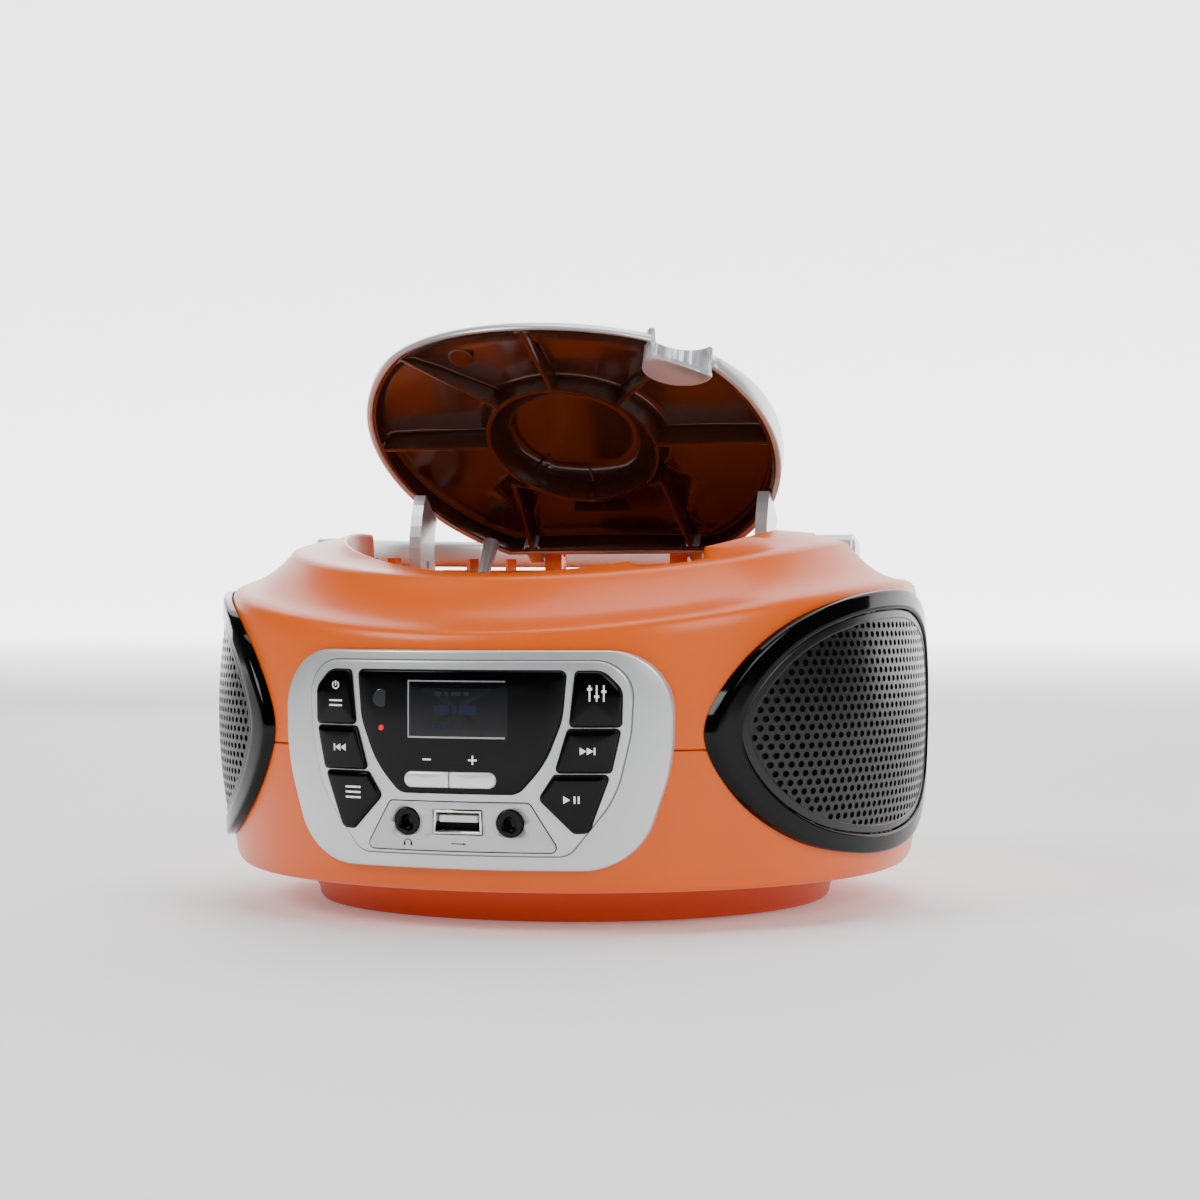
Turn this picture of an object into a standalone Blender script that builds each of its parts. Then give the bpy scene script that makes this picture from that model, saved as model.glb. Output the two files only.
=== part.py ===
"""Portable CD player with a digital radio: a round cabinet, a lift-up CD lid and a folding carry handle.

Metres, +Z up. The origin is on the floor under the middle of the cabinet, +X is the right-hand side
and the control panel faces -Y. The lid is modelled shut and parked open by its pivot.
"""
from math import acos, atan2, cos, pi, radians, sin, sqrt, tan

import bmesh
import bpy
from mathutils import Matrix, Vector

MM = 0.001
GAP = 0.3                     # clearance between touching pieces, in millimetres

# Driving dimensions, in millimetres --------------------------------------------------------------
HALF_WIDTH = 112.0            # cabinet at its widest, along X
HALF_DEPTH = 111.0            # and along Y
PLAN_POWER = 2.06             # superellipse power of the plan outline
WIDEST_Z = 64.0
WALL = 2.2                    # moulded wall thickness
SEAM_Z = 53.0                 # parting line between the two cabinet halves
PLINTH_R = 83.0
PLINTH_TOP_Z = 11.4
FLOOR_CLEARANCE = 2.0         # underside of the plinth above the table
CREASE_FRONT_Z = 87.0
CREASE_SIDE_Z = 102.0
CREASE_REAR_Z = 99.0
COLLAR_R = 92.0
LEDGE_R = 93.6
LEDGE_Z = 105.4               # ledge that the folded handle lies over
DECK_Z = 106.4                # flat deck behind the lid
RIM_FRONT_Z = 104.0
RIM_SIDE_Z = 118.0

SPINDLE_Y = -13.7
WELL_FLOOR_Z = 95.0
BAY_HALF_WIDTH = 70.5
BAY_FRONT = 67.0
BAY_REAR_Y = 45.6

HINGE_Y, HINGE_Z = 49.2, 112.0
LID_OPEN = radians(36.0)
LID_GAP = 1.6
LID_TOP_Z = 118.2
LID_PLANE_Z = 107.6           # plane of the rib edges when the lid is shut
LID_WALL = 2.2
LUG_X = 29.0
ARM_X = 60.0
ARM_R_OUT, ARM_R_IN = 40.0, 26.0
ARM_LOW_ANGLE = radians(50.0)
NOTCH_X, NOTCH_Y = 46.0, SPINDLE_Y - 46.0
NOTCH_R = 11.0
PEG_X, PEG_Y = -42.0, 36.4       # peg under the lid that works the lid switch
PEG_LENGTH = 14.0

HANDLE_Y, HANDLE_Z = 3.0, 112.3
HANDLE_R_IN, HANDLE_R_OUT = 80.0, 92.4
HANDLE_THICK = 9.2

PANEL_PROUD = 3.4             # control panel's face in front of the cabinet wall
SPEAKER_ANGLE = radians(78.0)
SPEAKER_Z = 58.0
BUTTON_TRAVEL = 0.8

ANTENNA_Y, ANTENNA_Z = 103.6, 103.8
ANTENNA_X = 52.0

PARTS = bpy.data.collections.new("portable_cd_player")
CUTTERS = bpy.data.collections.new("cutters")


# Scene and material helpers ----------------------------------------------------------------------
def clear_scene():
    for item in list(bpy.data.objects):
        bpy.data.objects.remove(item, do_unlink=True)
    for group in (PARTS, CUTTERS):
        bpy.context.scene.collection.children.link(group)


def material(name, colour, roughness, metallic=0.0):
    finish = bpy.data.materials.new(name)
    finish.use_nodes = True
    shader = finish.node_tree.nodes["Principled BSDF"]
    shader.inputs["Base Color"].default_value = (*colour, 1.0)
    shader.inputs["Roughness"].default_value = roughness
    shader.inputs["Metallic"].default_value = metallic
    return finish


def add_object(name, mesh, group):
    item = bpy.data.objects.new(name, mesh)
    group.objects.link(item)
    if group is CUTTERS:
        item.hide_render = True
        item.display_type = "WIRE"
    return item


def mesh_from(name, points, faces):
    """A mesh from points in millimetres."""
    mesh = bpy.data.meshes.new(name)
    mesh.from_pydata([(x * MM, y * MM, z * MM) for x, y, z in points], [], faces)
    return mesh


def finish_mesh(mesh, build):
    """Fill the mesh from a bmesh with its faces pointing out."""
    bmesh.ops.recalc_face_normals(build, faces=build.faces)
    build.to_mesh(mesh)
    build.free()


def box(name, size, centre, group=PARTS):
    build = bmesh.new()
    place = Matrix.Translation(Vector(centre) * MM)
    bmesh.ops.create_cube(build, size=1.0, matrix=place @ Matrix.Diagonal((*[s * MM for s in size], 1.0)))
    mesh = bpy.data.meshes.new(name)
    finish_mesh(mesh, build)
    return add_object(name, mesh, group)


def axis_turn(axis):
    """Rotation that takes +Z to the given direction."""
    return Vector((0, 0, 1)).rotation_difference(Vector(axis)).to_matrix().to_4x4()


def cylinder(name, radius, length, centre, axis=(0, 0, 1), sides=24, group=PARTS, radius_2=None):
    build = bmesh.new()
    place = Matrix.Translation(Vector(centre) * MM) @ axis_turn(axis)
    top = radius if radius_2 is None else radius_2
    bmesh.ops.create_cone(build, cap_ends=True, segments=sides, radius1=radius * MM, radius2=top * MM,
                          depth=length * MM, matrix=place)
    mesh = bpy.data.meshes.new(name)
    finish_mesh(mesh, build)
    return add_object(name, mesh, group)


def turned(name, profile, place, steps=32, group=PARTS):
    """A profile of (radius, height) from the top of the axis down its outer side, spun about +Z."""
    mesh = bpy.data.meshes.new(name)
    points = [(r * MM, 0.0, z * MM) for r, z in profile]
    closed = profile[0][0] > 0
    edges = [(i, i + 1) for i in range(len(points) - 1)]
    if closed:
        edges.append((len(points) - 1, 0))
    mesh.from_pydata(points, edges, [])
    item = add_object(name, mesh, group)
    item.matrix_world = place
    screw = item.modifiers.new("spin", "SCREW")
    screw.steps = steps
    screw.render_steps = steps
    screw.use_merge_vertices = True
    screw.merge_threshold = 0.00001
    return item


def prism(name, outline, low, high, axes, group=PARTS):
    """An outline in the plane of the first two axes, extruded from low to high along the third."""
    curve = bpy.data.curves.new(name, "CURVE")
    curve.dimensions = "2D"
    curve.fill_mode = "BOTH"
    curve.extrude = (high - low) * MM / 2
    spline = curve.splines.new("POLY")
    spline.points.add(len(outline) - 1)
    for point, (u, v) in zip(spline.points, outline):
        point.co = (u * MM, v * MM, 0.0, 1.0)
    spline.use_cyclic_u = True
    flat = bpy.data.objects.new(name, curve)
    bpy.context.scene.collection.objects.link(flat)
    graph = bpy.context.evaluated_depsgraph_get()
    mesh = bpy.data.meshes.new_from_object(flat.evaluated_get(graph))
    bpy.data.objects.remove(flat, do_unlink=True)
    bpy.data.curves.remove(curve)
    build = bmesh.new()
    build.from_mesh(mesh)
    bmesh.ops.remove_doubles(build, verts=build.verts, dist=0.000001)
    along = Vector(axes[2]) * (low + high) / 2 * MM
    turn = Matrix([Vector(axis) for axis in axes]).transposed().to_4x4()
    bmesh.ops.transform(build, matrix=Matrix.Translation(along) @ turn, verts=build.verts)
    finish_mesh(mesh, build)
    return add_object(name, mesh, group)


FROM_FRONT = ((1, 0, 0), (0, 0, 1), (0, 1, 0))     # outline in X and Z, extruded along Y
FROM_SIDE = ((0, 1, 0), (0, 0, 1), (1, 0, 0))      # outline in Y and Z, extruded along X
FROM_TOP = ((1, 0, 0), (0, 1, 0), (0, 0, 1))       # outline in X and Y, extruded along Z


def rounded(corners, steps=5):
    """An outline whose corners (x, y, radius) are replaced by arcs."""
    points = []
    count = len(corners)
    for i, (x, y, radius) in enumerate(corners):
        here = Vector((x, y))
        back = (Vector(corners[i - 1][:2]) - here).normalized()
        ahead = (Vector(corners[(i + 1) % count][:2]) - here).normalized()
        if radius <= 0:
            points.append((x, y))
            continue
        half = acos(max(-1.0, min(1.0, back.dot(ahead)))) / 2
        centre = here + (back + ahead).normalized() * radius / sin(half)
        start = here + back * radius / tan(half) - centre
        sweep = start.angle_signed(here + ahead * radius / tan(half) - centre)
        for k in range(steps + 1):
            turn = Matrix.Rotation(-sweep * k / steps, 2)
            points.append(tuple(centre + turn @ start))
    return points


def mirrored(corners):
    """Both halves of an outline given by its +X corners from top to bottom."""
    return corners + [(-x, y, r) for x, y, r in reversed(corners)]


def smooth_outline(points, steps=3):
    """A closed Catmull-Rom curve through the points."""
    count = len(points)
    curve = []
    for i in range(count):
        p0, p1, p2, p3 = (Vector(points[(i + k - 1) % count]) for k in range(4))
        for k in range(steps):
            t = k / steps
            a = 2 * p1 + (p2 - p0) * t
            b = (2 * p0 - 5 * p1 + 4 * p2 - p3) * t * t
            c = (3 * p1 - p0 - 3 * p2 + p3) * t * t * t
            curve.append(tuple((a + b + c) / 2))
    return curve


def scaled(outline, centre, factor_u, factor_v):
    return [(centre[0] + (u - centre[0]) * factor_u, centre[1] + (v - centre[1]) * factor_v)
            for u, v in outline]


# Dense mouldings where the exact solver leaves cracks along shared facets
CRACK_PRONE = ("lid", "upper_shell", "clamp_ring")


def boolean(target, tool, operation):
    step = target.modifiers.new(operation.lower(), "BOOLEAN")
    step.operation = operation
    step.object = tool
    if target.name in CRACK_PRONE:
        step.solver = "MANIFOLD"


def cut(target, tool):
    boolean(target, tool, "DIFFERENCE")


def join(target, tool):
    boolean(target, tool, "UNION")


def keep_inside(target, tool):
    boolean(target, tool, "INTERSECT")


def thicken(target, thickness):
    """Solidify an open sheet inwards."""
    step = target.modifiers.new("wall", "SOLIDIFY")
    step.thickness = thickness * MM
    step.offset = -1.0
    step.use_even_offset = True


def soften(target, width, segments=2, angle=radians(40)):
    step = target.modifiers.new("soft_edges", "BEVEL")
    step.width = width * MM
    step.segments = segments
    step.limit_method = "ANGLE"
    step.angle_limit = angle


def origin_at(target, point):
    """Move the object's origin to a point without moving its mesh."""
    move = Vector(point) * MM
    target.data.transform(Matrix.Translation(-move))
    target.location = move


def loft(name, rings, group=PARTS, first_cap=None, last_cap=None):
    """Quads between rings of equal length, with a fan to a point at either end if one is given."""
    count = len(rings[0])
    points = [p for ring in rings for p in ring]
    faces = []
    for k in range(len(rings) - 1):
        for i in range(count):
            j = (i + 1) % count
            faces.append((k * count + i, k * count + j, (k + 1) * count + j, (k + 1) * count + i))
    for cap, base in ((first_cap, 0), (last_cap, (len(rings) - 1) * count)):
        if cap is None:
            continue
        points.append(cap)
        for i in range(count):
            faces.append((base + i, base + (i + 1) % count, len(points) - 1))
    mesh = mesh_from(name, points, faces)
    build = bmesh.new()
    build.from_mesh(mesh)
    bmesh.ops.triangulate(build, faces=build.faces)
    finish_mesh(mesh, build)
    return add_object(name, mesh, group)


def point_outwards(target, outside):
    """Turn an open sheet's faces so that the one nearest a point outside faces that point."""
    build = bmesh.new()
    build.from_mesh(target.data)
    far = Vector(outside) * MM
    nearest = min(build.faces, key=lambda face: (face.calc_center_median() - far).length)
    if nearest.normal.dot(far - nearest.calc_center_median()) < 0:
        bmesh.ops.reverse_faces(build, faces=build.faces)
    build.to_mesh(target.data)
    build.free()


# Cabinet surfaces --------------------------------------------------------------------------------
def wall_half(z):
    """Half-width of the cabinet wall at a height: a slightly barrelled side."""
    below, above = max(0.0, WIDEST_Z - z), max(0.0, z - WIDEST_Z)
    return HALF_WIDTH - 2.6 * (below / 50) ** 2 - 1.5 * (above / 40) ** 2


def plan_radius(phi, half_width, half_depth=None):
    """Superellipse radius at an angle from the front (-Y) towards +X."""
    half_depth = half_depth or half_width - (HALF_WIDTH - HALF_DEPTH)
    across, along = abs(sin(phi)) / half_width, abs(cos(phi)) / half_depth
    return (across ** PLAN_POWER + along ** PLAN_POWER) ** (-1 / PLAN_POWER)


def at_angle(phi, radius, z, centre_y=0.0):
    return (radius * sin(phi), centre_y - radius * cos(phi), z)


def wall_y(x, z, offset=0.0):
    """Front wall's Y at X, pushed out by an offset."""
    half = wall_half(z) + offset
    depth = half - (HALF_WIDTH - HALF_DEPTH)
    return -depth * (1 - (abs(x) / half) ** PLAN_POWER) ** (1 / PLAN_POWER)


def crease_z(phi):
    side = sin(phi) ** 2
    low = CREASE_FRONT_Z if cos(phi) > 0 else CREASE_REAR_Z
    return low + (CREASE_SIDE_Z - low) * side


def bay_radius(phi, gap=0.0):
    """Edge of the disc bay around the spindle: round in front, cut straight across behind."""
    front = max(0.0, cos(phi)) ** 2
    edge = BAY_HALF_WIDTH - (BAY_HALF_WIDTH - BAY_FRONT) * front - gap
    limits = [edge]
    rear = -cos(phi)
    if rear > 0.01:
        limits.append((BAY_REAR_Y - SPINDLE_Y - gap) / rear)
    return min(limits)


def rim_z(phi):
    """Top edge of the bay: low in front, high at the sides."""
    front = max(0.0, cos(phi))
    return RIM_SIDE_Z - (RIM_SIDE_Z - RIM_FRONT_Z) * front ** 1.5


STEP_OUTER = radians(86.4)     # where the front collar drops to the handle's ledge
STEP_INNER = radians(97.0)     # where the pivot ears end


def sample_angles():
    """Even angles plus close pairs at the two steps, symmetric about the Y axis."""
    half = [pi * k / 20 for k in range(21)]
    half = [a for a in half if min(abs(a - STEP_OUTER), abs(a - STEP_INNER)) > radians(2)]
    for step in (STEP_OUTER, STEP_INNER):
        half += [step - radians(0.35), step + radians(0.35)]
    half.sort()
    return half + [2 * pi - a for a in reversed(half[1:-1])]


def behind(phi, step):
    away = min(phi, 2 * pi - phi)
    return away > step


def collar_outer(phi):
    if behind(phi, STEP_OUTER):
        return LEDGE_R, LEDGE_Z
    return COLLAR_R, rim_z(phi) - 4.0 + 1.5 * max(0.0, cos(phi))


def upper_shell_rings():
    angles = sample_angles()

    def ring(function):
        return [function(phi) for phi in angles]

    def wall(z):
        return ring(lambda phi: at_angle(phi, plan_radius(phi, wall_half(z)), z))

    def near_crease(drop, inset):
        def point(phi):
            z = crease_z(phi) - drop
            return at_angle(phi, plan_radius(phi, wall_half(z) - inset), z)
        return ring(point)

    def scoop(reach, rise):
        def point(phi):
            radius, top = collar_outer(phi)
            low = crease_z(phi) + 0.6
            outer = plan_radius(phi, wall_half(low) - 3.2)
            return at_angle(phi, outer + (radius - outer) * reach, low + (top - low) * rise)
        return ring(point)

    def collar_inner(phi):
        if behind(phi, STEP_OUTER):
            return at_angle(phi, HANDLE_R_IN - 0.8, LEDGE_Z)
        radius, top = collar_outer(phi)
        return at_angle(phi, radius - 5.0 + 2.0 * cos(phi), top + 1.6)

    def ear(phi):
        front = max(0.0, cos(phi)) ** 2
        radius = HANDLE_R_IN - 1.2 + 6.4 * front
        high = DECK_Z if behind(phi, STEP_INNER) else rim_z(phi) - 0.6
        return at_angle(phi, radius, high)

    def edge(phi, inward, drop):
        high = DECK_Z if behind(phi, STEP_INNER) else rim_z(phi)
        return at_angle(phi, bay_radius(phi) - inward, high - drop, SPINDLE_Y)

    def lid_seat(phi):
        x, y, _ = at_angle(phi, bay_radius(phi) - 1.0, 0.0, SPINDLE_Y)
        return (x, y, min(LID_PLANE_Z, LID_TOP_Z - lid_droop(y) - 5.0) - 1.4)

    def well(radius, z):
        return ring(lambda phi: at_angle(phi, well_radius(phi, radius), z, SPINDLE_Y))

    return [wall(SEAM_Z + GAP / 2), wall(WIDEST_Z), wall(76.0), near_crease(5.5, 0.0),
            near_crease(1.6, 0.5), near_crease(0.0, 2.0), scoop(0.25, 0.12), scoop(0.6, 0.42),
            scoop(0.88, 0.8), scoop(1.0, 1.0), ring(collar_inner), ring(ear),
            ring(lambda phi: edge(phi, 0.0, 0.0)), ring(lambda phi: edge(phi, 1.0, 1.4)),
            ring(lid_seat), well(64.0, WELL_FLOOR_Z + 3.0), well(62.0, WELL_FLOOR_Z)]


def cabinet_cavity():
    """The hollow inside the upper half, with one wall thickness left under every outer surface."""
    angles = [2 * pi * k / 36 for k in range(36)]

    def side(z_of, inset):
        def point(phi):
            z = z_of(phi)
            return at_angle(phi, plan_radius(phi, wall_half(z) - inset), z)
        return [point(phi) for phi in angles]

    def ceiling(phi):
        return min(LEDGE_Z - WALL - 0.4, rim_z(phi) - WALL - 1.0)

    def below_collar(phi):
        radius, top = collar_outer(phi)
        return at_angle(phi, radius - 4.0, min(LEDGE_Z, top) - WALL - 1.0)

    def round_well(extra, z):
        return [at_angle(phi, well_radius(phi, 64.0) + extra, z, SPINDLE_Y) for phi in angles]

    beside_well = [at_angle(phi, well_radius(phi, 64.0) + 6.4, ceiling(phi), SPINDLE_Y) for phi in angles]
    rings = [side(lambda phi: SEAM_Z - 3.0, WALL), side(lambda phi: crease_z(phi) - 7.0, WALL),
             side(lambda phi: crease_z(phi) - 3.4, 6.0), [below_collar(phi) for phi in angles], beside_well,
             round_well(2.4, WELL_FLOOR_Z + 1.5), round_well(0.2, WELL_FLOOR_Z - WALL)]
    return loft("cabinet_cavity", rings, CUTTERS, first_cap=(0, 0, SEAM_Z - 3.0),
                last_cap=(0, SPINDLE_Y, WELL_FLOOR_Z - WALL))


def well_radius(phi, radius):
    return min(radius, bay_radius(phi) - 1.6)


def upper_shell(shared_cutters, finish):
    shell = loft("upper_shell", upper_shell_rings(), first_cap=(0, 0, SEAM_Z + GAP / 2),
                 last_cap=(0, SPINDLE_Y, WELL_FLOOR_Z))
    cut(shell, cabinet_cavity())
    pocket = cylinder("notch_pocket", NOTCH_R + 4.4, 11.4, (NOTCH_X, NOTCH_Y, 98.2), sides=28, group=CUTTERS)
    cut(pocket, cylinder("disc_clearance", 62.0, 12.0, (0, SPINDLE_Y, WELL_FLOOR_Z + 9.0), sides=48,
                         group=CUTTERS))
    join(shell, pocket)
    scallop = cylinder("notch_scallop", NOTCH_R + 2.2, 40.0, (NOTCH_X, NOTCH_Y, 114.4), sides=28,
                       group=CUTTERS)
    cut(shell, scallop)
    hub_hole = cylinder("hub_hole", 16.5, 14.0, (0, SPINDLE_Y, WELL_FLOOR_Z), sides=32, group=CUTTERS)
    cut(shell, hub_hole)
    cut(shell, box("peg_slot", (8.0, 14.0, 24.0), (PEG_X, PEG_Y - 2.4, 102.0), CUTTERS))
    slot = rounded([(-13, 4, 2), (13, 4, 2), (13, 42, 6), (-13, 42, 6)])
    cut(shell, prism("pickup_slot", slot, 88, 102, FROM_TOP, CUTTERS))
    for side in (-1, 1):
        ear_outline = hinge_ear_outline()
        near, far = sorted((side * 19.5, side * 25.6))
        join(shell, prism("hinge_ear", ear_outline, near, far, FROM_SIDE, CUTTERS))
        pin_hole = cylinder("hinge_pin_hole", 1.5, 12, (side * 23, HINGE_Y, HINGE_Z), (1, 0, 0), 16, CUTTERS)
        cut(shell, pin_hole)
        arm_slot = box("arm_slot", (6.4, 31.0, 44.0), (side * ARM_X, 21.5, 100.0), CUTTERS)
        cut(shell, arm_slot)
        pivot = cylinder("handle_pivot_hole", 2.5, 16, (side * 77, HANDLE_Y, HANDLE_Z), (1, 0, 0), 16, CUTTERS)
        cut(shell, pivot)
    seat = box("aerial_seat", (13.6, 30.0, 24.0), (ANTENNA_X + 1.0, 101.0, ANTENNA_Z + 6.2), CUTTERS)
    cut(shell, seat)
    for tool in shared_cutters:
        cut(shell, tool)
    shell.data.materials.append(finish)
    return shell


def hinge_ear_outline():
    """Side view of an ear that carries a hinge pin: a round top on a straight foot."""
    radius = 3.0
    arc = [(HINGE_Y + radius * cos(a), HINGE_Z + radius * sin(a))
           for a in (radians(15 * k) for k in range(13))]
    return arc + [(HINGE_Y - radius, DECK_Z - 1.0), (HINGE_Y + radius, DECK_Z - 1.0)]


def lower_shell(shared_cutters, finish):
    profile = [(80.0, FLOOR_CLEARANCE), (82.0, FLOOR_CLEARANCE + 0.5), (PLINTH_R, FLOOR_CLEARANCE + 2.0),
               (PLINTH_R + 2.6, 8.0), (PLINTH_R + 3.4, PLINTH_TOP_Z), (105.2, PLINTH_TOP_Z + 0.4),
               (108.0, 13.4), (109.2, 16.5)]
    angles = [2 * pi * k / 36 for k in range(36)]
    rings = [[at_angle(phi, plan_radius(phi, r, r - 0.6), z) for phi in angles] for r, z in profile]
    for z in (26.0, 36.0, SEAM_Z - GAP / 2):
        rings.append([at_angle(phi, plan_radius(phi, wall_half(z)), z) for phi in angles])
    shell = loft("lower_shell", rings, first_cap=(0, 0, FLOOR_CLEARANCE))
    point_outwards(shell, (300, 0, 30))
    thicken(shell, WALL)
    for tool in shared_cutters:
        cut(shell, tool)
    battery = rounded([(-56, -44, 3), (56, -44, 3), (56, 28, 3), (-56, 28, 3)], 3)
    cut(shell, prism("battery_opening", battery, -4, 9, FROM_TOP, CUTTERS))
    inlet = rounded([(-9.3 - 20, 23.2, 3), (9.3 - 20, 23.2, 3), (9.3 - 20, 36.8, 3), (-9.3 - 20, 36.8, 3)], 3)
    cut(shell, prism("inlet_opening", inlet, 95, 125, FROM_FRONT, CUTTERS))
    shell.data.materials.append(finish)
    return shell


# Base: battery compartment, door and feet --------------------------------------------------------
def base_parts(dark, rubber, orange, metal):
    plate = rounded([(-55.6, -43.6, 2.6), (55.6, -43.6, 2.6), (55.6, 27.6, 2.6), (-55.6, 27.6, 2.6)], 3)
    door = prism("battery_door", plate, FLOOR_CLEARANCE, FLOOR_CLEARANCE + 2.0, FROM_TOP)
    grip = [(-10, -41, 0), (10, -41, 0), (7, -35, 0), (-7, -35, 0)]
    cut(door, prism("door_thumb_grip", rounded(grip, 1), 1.0, FLOOR_CLEARANCE + 0.8, FROM_TOP, CUTTERS))
    door.data.materials.append(orange)

    tub = box("battery_compartment", (120.0, 78.0, 38.0), (0, -8, 4.6 + 19.0))
    cut(tub, box("battery_cavity", (115.0, 73.0, 38.0), (0, -8, 4.6 + 16.5), CUTTERS))
    tub.data.materials.append(dark)
    for index, x in enumerate((-1, 1)):
        contact = box(f"battery_contact_{'lr'[index]}", (0.6, 60.0, 24.0), (x * 56.6, -8, 24.0))
        soften(contact, 0.15, 1)
        contact.data.materials.append(metal)

    for name, angle in (("fl", 215), ("fr", 145), ("rl", 325), ("rr", 35)):
        spin = radians(angle)
        x, y = 71.5 * sin(spin), 71.5 * cos(spin)
        foot = turned(f"foot_{name}", [(0, FLOOR_CLEARANCE - 0.01), (6.4, FLOOR_CLEARANCE - 0.01),
                                       (6.6, 0.8), (6.0, 0.0), (0, 0.0)],
                      Matrix.Translation(Vector((x, y, 0)) * MM), 16)
        foot.data.materials.append(rubber)


# Lid ---------------------------------------------------------------------------------------------
def lid_droop(y):
    """How far the lid's top surface falls below its middle towards the front edge."""
    return 11.8 * (max(0.0, -18.0 - y) / 60.0) ** 2


def lid_ring(reach, drop, angles, inset=0.0, plane=None):
    points = []
    for phi in angles:
        radius = (bay_radius(phi, LID_GAP) - inset) * reach
        x, y, _ = at_angle(phi, radius, 0.0, SPINDLE_Y)
        z = LID_TOP_Z - lid_droop(y) - drop - 1.4 * (radius / 68.0) ** 4
        if plane is not None:
            z = min(plane, z)
        points.append((x, y - HINGE_Y, z - HINGE_Z))
    return points


def lid_body(lid_finish):
    """The lid is a dished cover with deep ribs, a disc-clamp ring and two hinge lugs in one moulding."""
    angles = [2 * pi * k / 36 for k in range(36)]
    top = [lid_ring(0.5, 0, angles), lid_ring(0.8, 0, angles), lid_ring(0.97, 0.2, angles),
           lid_ring(1.0, 1.8, angles)]
    base = [lid_ring(1.0, 3.6, angles, plane=LID_PLANE_Z), lid_ring(0.5, 3.6, angles, plane=LID_PLANE_Z)]
    lid = loft("lid", top + base, first_cap=(0, SPINDLE_Y - HINGE_Y, LID_TOP_Z - HINGE_Z),
               last_cap=(0, SPINDLE_Y - HINGE_Y, LID_PLANE_Z - HINGE_Z))

    def hollow(reach):
        return lid_ring(reach, LID_WALL, angles, inset=LID_WALL)

    def below(reach):
        return [(x, y, z - 20.0) for x, y, z in lid_ring(reach, LID_WALL, angles, inset=LID_WALL)]

    pocket = loft("lid_pocket", [hollow(0.5), hollow(0.95), hollow(1.0), below(1.0)],
                  CUTTERS, first_cap=(0, SPINDLE_Y - HINGE_Y, LID_TOP_Z - LID_WALL - HINGE_Z),
                  last_cap=(0, SPINDLE_Y - HINGE_Y, LID_TOP_Z - LID_WALL - HINGE_Z - 20.0))
    spindle = SPINDLE_Y - HINGE_Y
    cut(lid, pocket)
    join(lid, lid_ribs(angles))

    cup_centre = (NOTCH_X, NOTCH_Y - HINGE_Y)
    cup_top = LID_TOP_Z - lid_droop(NOTCH_Y) - 1.6 - HINGE_Z
    cup = cylinder("finger_cup", NOTCH_R, 11.0, (*cup_centre, cup_top - 5.5), sides=28, group=CUTTERS)
    join(lid, cup)
    cut(lid, cylinder("finger_cup_hollow", NOTCH_R - 1.6, 20.0, (*cup_centre, cup_top + 0.5), sides=28,
                      group=CUTTERS))
    outlet = box("finger_cup_outlet", (20.0, 2 * NOTCH_R - 4.0, 20.0), (0, 0, 0), CUTTERS)
    outwards = Vector((NOTCH_X, NOTCH_Y - SPINDLE_Y)).normalized()
    place = Vector((cup_centre[0] + 10.0 * outwards.x, cup_centre[1] + 10.0 * outwards.y, cup_top + 1.5))
    turn = Matrix.Rotation(atan2(outwards.y, outwards.x), 4, "Z")
    outlet.data.transform(Matrix.Translation(place * MM) @ turn)
    cut(lid, outlet)
    for side in (-1, 1):
        near, far = sorted((side * (LUG_X - 2.4), side * (LUG_X + 2.4)))
        lug = lug_outline(3.2, 8.5)
        join(lid, prism("hinge_lug", lug, near, far, FROM_SIDE, CUTTERS))
        cut(lid, cylinder("lug_bore", 1.5, 9, (side * LUG_X, 0, 0), (1, 0, 0), 16, CUTTERS))
    boss = cylinder("lid_boss", 4.0, 3.0, (-26.0, spindle - 44.0, LID_PLANE_Z - HINGE_Z + 2.0), sides=20,
                    group=CUTTERS)
    join(lid, boss)
    lid.data.materials.append(lid_finish)
    return lid


def lid_ribs(angles):
    """Clamp ring and ribs, trimmed to the hollow of the lid and rooted a little way into its wall."""
    root = 0.7
    def filler(reach, drop=LID_WALL - root, plane=None):
        return lid_ring(reach, drop, angles, inset=LID_WALL - root, plane=plane)

    hollow = loft("lid_filler", [filler(0.5), filler(0.95), filler(1.0),
                                 filler(1.0, 4.4, LID_PLANE_Z + 0.1), filler(0.5, 4.4, LID_PLANE_Z + 0.1)],
                  CUTTERS, first_cap=(0, SPINDLE_Y - HINGE_Y, LID_TOP_Z - LID_WALL + root - HINGE_Z),
                  last_cap=(0, SPINDLE_Y - HINGE_Y, LID_PLANE_Z + 0.1 - HINGE_Z))
    spindle = SPINDLE_Y - HINGE_Y
    ribs = cylinder("clamp_ring", 28.8, 40, (0, spindle, 0), sides=32, group=CUTTERS)
    cut(ribs, cylinder("clamp_ring_bore", 27.3, 44, (0, spindle, 0), sides=32, group=CUTTERS))
    runs = []
    for degrees in (0, 45, 90, 135, 180):
        turn = radians(degrees)
        ray = Vector((cos(turn), -sin(turn)))
        runs.append((ray * 28.0, ray * 76.0))
    for side in (-1, 1):
        elbow = Vector((side * 25.5, 19.5))
        runs.append((Vector((side * 17.0, 22.0)), elbow))
        runs.append((elbow - Vector((0, 0.5)), Vector((side * LUG_X, 60.0))))
    for start, end in runs:
        run = end - start
        middle = (start + end) / 2 + Vector((0, spindle))
        rib = box("lid_rib", (run.length, 1.3, 39.0), (0, 0, 0), CUTTERS)
        turn = Matrix.Rotation(atan2(run.y, run.x), 4, "Z")
        rib.data.transform(Matrix.Translation(Vector((*middle, 0)) * MM) @ turn)
        join(ribs, rib)
    keep_inside(ribs, hollow)
    return ribs


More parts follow.
